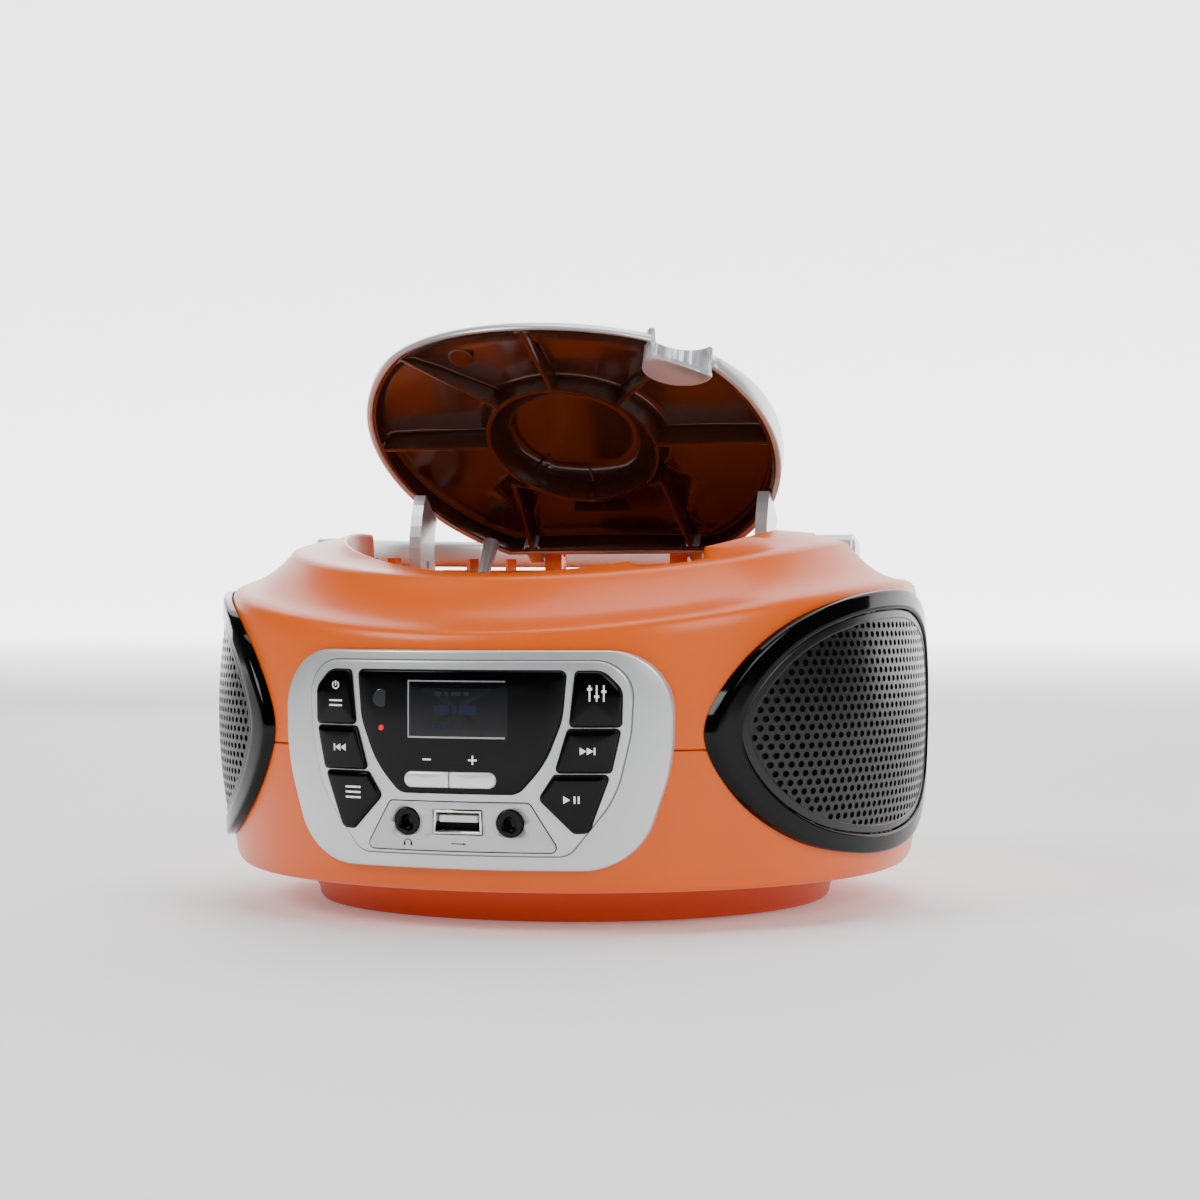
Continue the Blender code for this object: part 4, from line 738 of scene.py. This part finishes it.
# %% [markdown]
# ## The display window
# A glossy black shield with a small liquid-crystal area framed by a thin silver line, a receiver eye and
# a red lamp. The display shows only bars and dashes, so it carries no text.
# %% Window, display and lamp
gap_under("window_gap", WINDOW, 0.4, GAP_TOP)
window = plate("window_face", WINDOW, 0.6, 3.85, 0.4, on_front, GLOSS_BLACK, rings=8)
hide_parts("display_window")
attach(window, "cabinet")


def front_bar(name, x0, z0, x1, z1, low, high, paint, radius=0.15, body="cabinet"):
    loop = rounded([(x0, z0, radius), (x1, z0, radius), (x1, z1, radius), (x0, z1, radius)], 3)
    bar = plate(name, loop, low, high, min(0.04, (high - low) / 3), on_front, paint, rings=4)
    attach(bar, body)


front_bar("lcd_edge", -15.0, 56.5, 14.5, 73.0, 3.6, 3.90, LCD_LINE)
front_bar("lcd_area", -14.55, 57.0, 15.2, 72.6, 3.6, 3.93, LCD_BACK)
MARK_ROWS = ((68.6, 1.2, (2.2, 1.2, 3.0, 1.6)), (63.4, 2.6, (4.5, 1.4, 5.2)), (59.2, 1.2, (2.6, 2.6)))
for row, (z, height, widths) in enumerate(MARK_ROWS):
    x = -6.5
    for k, width in enumerate(widths):
        front_bar(f"lcd_mark_{row}_{k}", x, z, x + width, z + height, 3.8, 3.96, LCD_INK)
        x += width + 0.8
eye_y = on_front(-23.6, 67.8, 3.9)[1]
eye = drum("receiver_eye", 2.6, 1.2, (-23.6, eye_y + 0.42, 67.8), LENS, (0, -1, 0), 40)
bevel(eye, 0.25)
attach(eye, "cabinet")
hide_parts("infrared_receiver")
lamp_y = on_front(-23.6, 59.2, 3.9)[1]
bpy.ops.object.select_all(action="DESELECT")
bpy.ops.mesh.primitive_uv_sphere_add(segments=24, ring_count=16, radius=0.0009,
                                     location=Vector((-23.6, lamp_y + 0.3, 59.2)) * MM)
red = named("standby_lamp", RED_LAMP)
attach(red, "cabinet")
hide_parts("standby_light")
print("window filled")

# %% [markdown]
# Two silver pills under the display are the volume keys, split by a hairline.
# %% Volume keys
PILL_LEFT = rounded([(-16.0, 42.4, 2.2), (-2.25, 42.4, 0.3), (-2.25, 47.0, 0.3), (-16.0, 47.0, 2.2)], 6)
PILL_RIGHT = rounded([(-1.95, 42.4, 0.3), (11.8, 42.4, 2.2), (11.8, 47.0, 2.2), (-1.95, 47.0, 0.3)], 6)
PILL_PAIR = rounded([(-16.0, 42.4, 2.2), (11.8, 42.4, 2.2), (11.8, 47.0, 2.2), (-16.0, 47.0, 2.2)], 6)
gap_under("volume_gap", PILL_PAIR, 0.35, 3.88)
for body, loop in (("volume_down", PILL_LEFT), ("volume_up", PILL_RIGHT)):
    pill = plate(f"{body}_key", loop, 1.85, 4.9, 0.7, on_front, SILVER_BRIGHT, rings=5, crown=0.2)
    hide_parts(f"{body}_button")
    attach(pill, body)
print("volume keys made")


# %% [markdown]
# ## Symbols
# Printed marks are thin white shapes laid on the same curve, with a slight painted glow that keeps them
# bright. They are generic: power, skip, play and pause, menu bars, sliders, plus and minus.
# %% Symbol printer
def printed(name, loops, level, body, paint=LEGEND_WITH_PAINTED_GLOW):
    parts = [plate(f"{name}_{k}", loop, level - 0.20, level, 0.01, on_front, paint, rings=3)
             for k, loop in enumerate(loops)]
    mark = join_pieces(name, parts) if len(parts) > 1 else parts[0]
    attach(mark, body)


def bar(x, z, width, height):
    return [(x - width / 2, z - height / 2), (x + width / 2, z - height / 2),
            (x + width / 2, z + height / 2), (x - width / 2, z + height / 2)]


def arrow(x, z, size, way):
    return [(x, z - size / 2), (x + way * size * 0.85, z), (x, z + size / 2)]


def arc_strip(x, z, radius, width, start, end, steps=14):
    angles = [radians(start + (end - start) * k / steps) for k in range(steps + 1)]
    pieces = []
    for a, b in zip(angles, angles[1:]):
        pieces.append([(x + r * sin(t), z + r * cos(t))
                       for r, t in ((radius, a), (radius, b), (radius - width, b), (radius - width, a))])
    return pieces


for body, (key, (x, z)) in keys.items():
    if body == "power":
        marks = [bar(x + 1, z + 3.4, 0.35, 1.5), *arc_strip(x + 1, z + 2.9, 1.25, 0.35, 35, 325),
                 bar(x + 1, z - 1.6, 4.6, 0.5), bar(x + 1, z - 3.0, 4.6, 0.5)]
    elif body == "skip_back":
        marks = [bar(x - 2.0, z, 0.45, 2.0), arrow(x + 0.1, z, 2.1, -1), arrow(x + 2.0, z, 2.1, -1)]
    elif body == "skip_forward":
        marks = [bar(x + 2.0, z, 0.45, 2.0), arrow(x - 0.1, z, 2.1, 1), arrow(x - 2.0, z, 2.1, 1)]
    elif body == "menu":
        marks = [bar(x, z + 3.4 - 1.5 * k, 5.2, 0.55) for k in range(3)]
    elif body == "eq":
        marks = [bar(x - 1.9 + 1.9 * k, z + 1.2, 0.4, 4.6) for k in range(3)]
        marks += [bar(x - 1.9 + 1.9 * k, z + 1.2 + lift, 1.3, 0.7)
                  for k, lift in enumerate((1.2, -0.9, 0.5))]
    elif body == "play":
        marks = [arrow(x - 2.2, z + 1.0, 2.2, 1), bar(x + 0.9, z + 1.0, 0.5, 2.1),
                 bar(x + 2.0, z + 1.0, 0.5, 2.1)]
    printed(f"{body}_symbol", marks, 4.69, body)
    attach(key, body)
printed("volume_down_symbol", [bar(-9.0, 50.4, 2.6, 0.5)], 3.92, "cabinet")
printed("volume_up_symbol", [bar(4.9, 50.4, 2.6, 0.5), bar(4.9, 50.4, 0.5, 2.6)], 3.92, "cabinet")
printed("headphone_symbol", [*arc_strip(-15.5, 26.2, 1.3, 0.3, -90, 90, 10), bar(-16.6, 26.0, 0.6, 1.0),
                             bar(-14.4, 26.0, 0.6, 1.0)], 3.80, "cabinet", SATIN_BLACK)
printed("usb_symbol", [bar(0, 26.4, 4.0, 0.3), arrow(1.7, 26.4, 0.9, 1)], 3.80, "cabinet", SATIN_BLACK)
print("symbols printed")

# %% [markdown]
# The USB socket is a folded steel shell round a white tongue, just inside the plate.
# %% USB socket
usb_y = on_front(0, PORT_Z, 3.6)[1]
usb = block("usb_shell", (14.6, 12.0, 6.8), (0, usb_y + 6.0, PORT_Z), CHROME)
boolean(usb, block("usb_room", (13.2, 16.0, 5.4), (0, usb_y + 4.0, PORT_Z), CHROME), "DIFFERENCE")
bevel(usb, 0.2, 2)
tongue = block("usb_tongue", (11.4, 9.0, 1.9), (0, usb_y + 5.2, 33.5), ACETAL)
bevel(tongue, 0.15, 2)
# A matt black plate closes the shell behind the tongue: painted shade for the socket's dark inside.
socket_inside_shade = block("usb_back_painted_shade", (13.4, 1.0, 5.6), (0, usb_y + 9.0, PORT_Z), MATT_BLACK)
for part in (usb, tongue, socket_inside_shade):
    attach(part, "cabinet")
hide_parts("usb_socket")
print("usb socket made")

# %% [markdown]
# The jacks get a proper rim and a dark throat.
# %% Jack rims
for name, x in (("headphone", -JACK_X), ("aux", JACK_X)):
    y = on_front(x, PORT_Z, 4.3)[1]
    rim = drum(f"{name}_rim", 3.9, 5.0, (x, y + 2.5, PORT_Z), GLOSS_BLACK, (0, -1, 0), 48)
    boolean(rim, drum("throat", 1.8, 4.4, (x, y + 1.2, PORT_Z), MATT_BLACK, (0, -1, 0), 32), "DIFFERENCE")
    bevel(rim, 0.3)
    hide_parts(f"{name}_jack")
    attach(rim, "cabinet")
print("jacks done")


# %% [markdown]
# ## Speakers
# Each bezel is a glossy black ring laid on the barrelled side. The grille inside it is domed sheet,
# perforated with hundreds of small round holes in staggered rows.
# %% Bezels
def bezel_ring(side, label):
    place = on_side(side)
    inner = grown(anticlockwise(GRILLE), 0.3)
    ring = ring_plate(f"bezel_{label}", BEZEL, inner, 0.3, 2.8, 0.8, place, GLOSS_BLACK, rings=4)
    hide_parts(f"speaker_bezel_{label}")
    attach(ring, "cabinet")
    cloth = plate(f"speaker_cloth_{label}", GRILLE, 0.12, 0.42, 0.05, place, CLOTH, rings=10)
    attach(cloth, "cabinet")
    return ring


for side, label in ((-1, "l"), (1, "r")):
    ring = bezel_ring(side, label)
print("bezels:", len(ring.data.polygons), "faces each")


# %% [markdown]
# The holes are made in two dimensions first: every hexagonal cell of the sheet is a ring of faces round a
# hole. The flat pattern is then laid on the domed side and given thickness.
# %% Perforated grilles
def inside(loop, u, v):
    crossings = False
    for i in range(len(loop)):
        (x0, y0), (x1, y1) = loop[i - 1], loop[i]
        if (y0 > v) != (y1 > v) and u < (x1 - x0) * (v - y0) / (y1 - y0) + x0:
            crossings = not crossings
    return crossings


PITCH_U, PITCH_V, HOLE_R, HOLE_SIDES = 3.1, 2.68, 0.98, 12
GRILLE_DOME = 2.4         # how far the grille's middle swells out


def cell_faces(points, faces, u, v, pierced):
    """A hexagonal cell; its corners are shared by place when the sheet is welded."""
    corners = [(0, PITCH_V * 2 / 3), (PITCH_U / 2, PITCH_V / 3), (PITCH_U / 2, -PITCH_V / 3),
               (0, -PITCH_V * 2 / 3), (-PITCH_U / 2, -PITCH_V / 3), (-PITCH_U / 2, PITCH_V / 3)]
    base = len(points)
    points += [(u + a, v + b) for a, b in corners]
    if not pierced:
        faces.append(tuple(base + k for k in range(6)))
        return
    points += [(u + HOLE_R * sin(2 * pi * k / HOLE_SIDES), v + HOLE_R * cos(2 * pi * k / HOLE_SIDES))
               for k in range(HOLE_SIDES)]
    for k in range(6):
        a, b = base + k, base + (k + 1) % 6
        h = [base + 6 + (2 * k + s) % HOLE_SIDES for s in range(3)]
        faces.append((a, b, h[2], h[1], h[0]))


def perforated(side, label):
    place = on_side(side, dome=GRILLE_DOME)
    field = anticlockwise(scaled(GRILLE, BEZEL_CENTRE, 0.955, 0.93))
    reach = anticlockwise(scaled(GRILLE, BEZEL_CENTRE, 0.985, 0.975))
    flat, faces = [], []
    holes = row = 0
    v = 16.0
    while v < 104:
        u = -78.0 + (PITCH_U / 2 if row % 2 else 0)
        while u < 52:
            if inside(reach, u, v):
                pierced = inside(field, u, v)
                holes += pierced
                cell_faces(flat, faces, u, v, pierced)
            u += PITCH_U
        v += PITCH_V
        row += 1
    points = [place(u, v, 1.0) for u, v in flat]
    sheet = piece(f"grille_{label}", points, faces, SATIN_BLACK, smooth=60)
    agree(sheet, merge=0.00005)
    outward = Vector(place(-12, 59, 10)) - Vector(place(-12, 59, 0))
    nearest = min(sheet.data.polygons, key=lambda f: (f.center - Vector(place(-12, 59, 1)) * MM).length)
    if nearest.normal.dot(outward) < 0:
        sheet.data.flip_normals()
    modified(sheet, "SOLIDIFY", thickness=0.7 * MM, offset=-1)
    shade(40)
    return sheet, holes


for side, label in ((-1, "l"), (1, "r")):
    sheet, holes = perforated(side, label)
    hem = ring_plate(f"grille_hem_{label}", GRILLE, scaled(GRILLE, BEZEL_CENTRE, 0.95, 0.925), 0.3, 1.25,
                     0.3, on_side(side, dome=GRILLE_DOME), SATIN_BLACK, rings=3)
    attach(hem, "cabinet")
    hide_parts(f"speaker_grille_{label}")
    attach(sheet, "cabinet")
print("holes in a grille:", holes, "faces:", len(sheet.data.polygons))


# %% [markdown]
# ## The lid
# The lid is drawn shut, in millimetres from the cabinet's middle, then swung open about its hinge. It is
# two mouldings: a thin silver cover, and a glossy brown lining that carries the ribs and the clamp ring.
# %% Lid rings
LID_OPEN, LID_GAP, LID_TOP, LID_PLANE = radians(36.0), 1.6, 118.2, 107.6
LID_ANGLES = [2 * pi * k / 120 for k in range(120)]
LID_TIP = (0, SPINDLE_Y, LID_TOP)


def lid_ring(reach, drop, inset=0.0, plane=None):
    loop = []
    for phi in LID_ANGLES:
        radius = (bay_radius(phi, LID_GAP) - inset) * reach
        x, y, z = at_angle(phi, radius, 0.0, SPINDLE_Y)
        z = LID_TOP - lid_droop(y) - drop - 1.4 * (radius / 68.0) ** 4
        loop.append((x, y, z if plane is None else min(plane, z)))
    return loop


def lid_edge(inset, lift, reach=1.0, drop=3.6):
    """A ring at the lid's lower edge, no higher than the seat, then lifted off it."""
    return [(x, y, z + lift) for x, y, z in lid_ring(reach, drop, inset, LID_PLANE)]


def opened(obj):
    """Swing a shut lid piece about the hinge to the open position."""
    hinge = Vector((0, HINGE_Y, HINGE_Z)) * MM
    turn = Matrix.Translation(hinge) @ Matrix.Rotation(-LID_OPEN, 4, "X") @ Matrix.Translation(-hinge)
    obj.data.transform(turn)
    obj.data.validate()
    obj.data.update()


def deep(drop):
    return (0, SPINDLE_Y, LID_TOP - drop)


print("lid radius in front:", bay_radius(0.0, LID_GAP))

# %% [markdown]
# The cover's edge is rolled over, so the silver shows as a slim rim round the brown underside.
# %% Silver cover
cover_rings = [lid_ring(r, 0.0) for r in (0.2, 0.4, 0.6, 0.75, 0.87, 0.94)]
cover_rings += [lid_ring(0.965, 0.12), lid_ring(0.982, 0.5), lid_ring(0.993, 1.1), lid_ring(1.0, 2.1)]
cover_rings += [lid_edge(0.0, 0.45), lid_edge(0.18, 0.08), lid_edge(0.5, 0.0), lid_edge(1.5, 0.0),
                lid_edge(1.9, 0.3)]
cover_rings += [lid_ring(1.0, 2.4, 2.0), lid_ring(0.97, 1.1, 1.9), lid_ring(0.8, 1.1), lid_ring(0.5, 1.1)]
cover = loft("lid_cover", cover_rings, SILVER, first=LID_TIP, last=deep(1.1))
print("cover faces:", len(cover.data.polygons))

# %% [markdown]
# The lining is an inverted dish. Seven ribs run out from the clamp ring, which holds a disc's middle down.
# %% Brown lining with ribs
lining_rings = [lid_ring(0.5, 1.2), lid_ring(0.8, 1.2), lid_ring(0.965, 1.2, 2.0), lid_ring(1.0, 2.5, 2.05)]
lining_rings += [lid_edge(2.05, 0.5), lid_edge(2.2, 0.3), lid_edge(3.1, 0.3), lid_edge(3.3, 0.6)]
lining_rings += [lid_ring(1.0, 3.9, 3.5), lid_ring(0.985, 2.9, 3.6), lid_ring(0.96, 2.4, 3.6),
                 lid_ring(0.8, 2.3, 2.0), lid_ring(0.5, 2.3, 2.0), lid_ring(0.25, 2.3)]
lining = loft("lid_lining", lining_rings, BROWN, first=deep(1.2), last=deep(2.3))
filler = loft("rib_space", [lid_ring(0.5, 1.7), lid_ring(0.95, 1.7, 2.6), lid_ring(1.0, 2.4, 2.7),
                            lid_edge(2.7, 0.6, drop=4.4), lid_edge(2.7, 0.6, 0.5, 4.4)],
              BROWN, first=deep(1.7), last=(0, SPINDLE_Y, LID_PLANE + 0.6))
ribs = drum("rib_work", 28.8, 40, (0, SPINDLE_Y, 112), BROWN, sides=96)
boolean(ribs, drum("ring_bore", 27.4, 44, (0, SPINDLE_Y, 112), BROWN, sides=96), "DIFFERENCE")
runs = [(28.0 * cos(radians(a)), -28.0 * sin(radians(a)), 76.0 * cos(radians(a)), -76.0 * sin(radians(a)))
        for a in (0, 45, 90, 135, 180)]
for side in (-1, 1):
    runs += [(side * 17.0, 22.0, side * 25.5, 19.5), (side * 25.5, 19.0, side * 29.0, 60.0)]
for x0, y0, x1, y1 in runs:
    run = Vector((x1 - x0, y1 - y0))
    rib = block("rib", (run.length, 1.4, 39.0), ((x0 + x1) / 2, (y0 + y1) / 2 + SPINDLE_Y, 112), BROWN,
                atan2(run.y, run.x))
    boolean(ribs, rib, "UNION")
boolean(ribs, filler, "INTERSECT")
bevel(ribs, 0.22, 2, 50)
boolean(lining, ribs, "UNION")
boss = drum("moulding_boss", 4.0, 1.2, (-26.0, SPINDLE_Y - 44.0, LID_TOP - lid_droop(SPINDLE_Y - 44) - 3.6),
            BROWN, sides=48)
bevel(boss, 0.3)
print("lining faces:", len(lining.data.polygons))

# %% [markdown]
# A silver scoop at the front right corner gives a fingertip its grip. It opens outwards.
# %% Finger scoop and lugs
LEAN = Matrix.Rotation(radians(15.4), 4, "X")


def leaned(obj, tilt=LEAN):
    """Tilt a scoop piece about the scoop's middle, by the lid's slope there unless told otherwise."""
    spot = Vector((NOTCH_X, NOTCH_Y, cup_top)) * MM
    obj.data.transform(Matrix.Translation(spot) @ tilt @ Matrix.Translation(-spot))
    return obj


cup_top = LID_TOP - lid_droop(NOTCH_Y) - 0.9
cup = leaned(drum("finger_scoop", NOTCH_R, 16.0, (NOTCH_X, NOTCH_Y, cup_top - 2.0), SILVER, sides=72))
bowl = drum("scoop_bowl", NOTCH_R - 1.4, 20.0, (NOTCH_X, NOTCH_Y, cup_top + 1.6), SILVER, sides=72)
boolean(cup, leaned(bowl), "DIFFERENCE")
way = Vector((NOTCH_X, NOTCH_Y - SPINDLE_Y)).normalized()
outlet = (NOTCH_X + 12 * way.x, NOTCH_Y + 12 * way.y, cup_top + 1.6)
turn = atan2(way.y, way.x)
boolean(cup, leaned(block("scoop_outlet", (20.0, 26.0, 20.0), outlet, SILVER, turn)), "DIFFERENCE")
trim = block("scoop_trim", (50.0, 50.0, 20.0), (NOTCH_X, NOTCH_Y, cup_top + 11.0), SILVER)
slope = Matrix.Rotation(radians(5), 4, Vector((-way.y, way.x, 0)))
boolean(cup, leaned(leaned(trim, slope)), "DIFFERENCE")
levels = (90, 125)
column = [[at_angle(phi, bay_radius(phi, LID_GAP + 0.4), z, SPINDLE_Y) for phi in LID_ANGLES]
          for z in levels]
ends = [(0, SPINDLE_Y, z) for z in levels]
boolean(cup, loft("lid_column", column, SILVER, first=ends[0], last=ends[1]), "INTERSECT")
bevel(cup, 0.4, 3, 45)
for target in (cover, lining):
    room = drum("scoop_room", NOTCH_R - 0.5, 40, (NOTCH_X, NOTCH_Y, cup_top), SILVER, sides=72)
    boolean(target, leaned(room), "DIFFERENCE")
    boolean(target, leaned(block("scoop_way", (20.0, 20.6, 40.0), outlet, SILVER, turn)), "DIFFERENCE")
lugs = []
for side in (-1, 1):
    eye = [(HINGE_Y + 3.2 * cos(a), HINGE_Z + 3.2 * sin(a))
           for a in (radians(90 - 9 * k) for k in range(21))]
    loop = eye + [(HINGE_Y - 8.5, HINGE_Z - 3.2), (HINGE_Y - 8.5, HINGE_Z + 3.2)]
    near, far = sorted((side * 26.6, side * 31.4))
    lug = prism("hinge_lug", loop, near, far, SIDE, SILVER)
    bore = drum("lug_bore", 1.5, 9, (side * 29, HINGE_Y, HINGE_Z), SILVER, (1, 0, 0), 32)
    boolean(lug, bore, "DIFFERENCE")
    bevel(lug, 0.3, 2)
    lugs.append(lug)
lid_lugs = join_pieces("lid_lugs", lugs)
for part in (cover, lining, cup, boss, lid_lugs):
    opened(part)
    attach(part, "lid")
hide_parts("lid")
print("lid pieces: cover, lining, scoop, boss, lugs")


# %% [markdown]
# ## The carry handle
# A silver arch lies folded back round the rear of the top. Its section is a soft rounded rectangle.
# %% Handle
def handle_rings():
    section = rounded([(0, 0, 2.6), (12.4, 0, 3.6), (12.4, 9.2, 3.6), (0, 9.2, 2.6)], 6)
    rings = []
    for k in range(97):
        phi = radians(90 + 180 * k / 96)
        ring = []
        for across, up in section:
            x, y, z = at_angle(phi, 80.0 + across, 0)
            ring.append((x, y + PIVOT_Y, up - 4.6 + PIVOT_Z))
        rings.append(ring)
    return rings


def middle_point(ring):
    return tuple(sum(p[k] for p in ring) / len(ring) for k in range(3))


rings = handle_rings()
handle = loft("carry_handle_arch", rings, SILVER, first=middle_point(rings[0]),
              last=middle_point(rings[-1]))
for side in (-1, 1):
    hub = drum("handle_hub", 4.6, 11.2, (side * 86.2, PIVOT_Y, PIVOT_Z), SILVER, (1, 0, 0), 48)
    boolean(handle, hub, "UNION")
    bore = drum("handle_bore", 2.5, 14.0, (side * 82, PIVOT_Y, PIVOT_Z), SILVER, (1, 0, 0), 32)
    boolean(handle, bore, "DIFFERENCE")
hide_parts("carry_handle")
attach(handle, "handle")
print("handle faces:", len(handle.data.polygons))


# %% [markdown]
# ## Studio
# A pale floor that glows more towards the backdrop, and large soft lamps, as for a product picture. The
# camera stands level with the upper part of the cabinet, to the right.
# %% Floor, lamps and camera
bpy.ops.object.select_all(action="DESELECT")
bpy.ops.mesh.primitive_plane_add(size=14, location=(0, 0, 0))
floor = bpy.context.object
floor.name = "floor"
floor_paint = finish("studio_floor", (0.92, 0.92, 0.92), 0.85, glow=0.16)
tree = floor_paint.node_tree
place = tree.nodes.new("ShaderNodeTexCoord")
split = tree.nodes.new("ShaderNodeSeparateXYZ")
fade = tree.nodes.new("ShaderNodeMapRange")
fade.interpolation_type = "SMOOTHSTEP"
for key, value in (("From Min", 0.3), ("From Max", 4.5), ("To Min", 0.2), ("To Max", 2.7)):
    fade.inputs[key].default_value = value
tree.links.new(place.outputs["Object"], split.inputs["Vector"])
tree.links.new(split.outputs["Y"], fade.inputs["Value"])
tree.links.new(fade.outputs["Result"], tree.nodes["Principled BSDF"].inputs["Emission Strength"])
floor.data.materials.append(floor_paint)
bpy.ops.object.select_all(action="DESELECT")
bpy.ops.mesh.primitive_plane_add(size=14, location=(0, 5, 0), rotation=(radians(90), 0, 0))
backdrop = bpy.context.object
backdrop.name = "backdrop"
backdrop.data.materials.append(finish("studio_backdrop", (0.92, 0.92, 0.92), 0.9, glow=2.8))


def lamp(name, place, target, size, power):
    bpy.ops.object.select_all(action="DESELECT")
    bpy.ops.object.light_add(type="AREA", location=place)
    light = bpy.context.object
    light.name = name
    light.data.shape = "RECTANGLE"
    light.data.size = size
    light.data.size_y = size
    light.data.energy = power
    light.rotation_euler = (Vector(target) - Vector(place)).to_track_quat("-Z", "Y").to_euler()


lamp("key_lamp", (-0.85, -0.95, 1.0), (0, 0, 0.08), 0.6, 12.0)
lamp("fill_lamp", (1.1, -0.75, 0.7), (0, 0, 0.08), 0.6, 8.5)
lamp("top_lamp", (0.1, 0.1, 1.3), (0, 0, 0.08), 0.9, 10.0)
lamp("rim_lamp", (-0.5, 1.1, 0.7), (0, 0, 0.1), 0.6, 3.5)

world = bpy.data.worlds.new("studio")
world.use_nodes = True
world.node_tree.nodes["Background"].inputs["Color"].default_value = (1, 1, 1, 1)
world.node_tree.nodes["Background"].inputs["Strength"].default_value = 0.08
bpy.context.scene.world = world

view = bpy.data.cameras.new("camera")
view.lens = 74.5
view.sensor_width = 36.0
view.clip_start = 0.01
camera = bpy.data.objects.new("camera", view)
bpy.context.scene.collection.objects.link(camera)
camera.location = (0.2421, -0.7792, 0.0959)
camera.rotation_euler = (radians(90), 0, radians(16.70))
bpy.context.scene.camera = camera
print("lamps and camera placed")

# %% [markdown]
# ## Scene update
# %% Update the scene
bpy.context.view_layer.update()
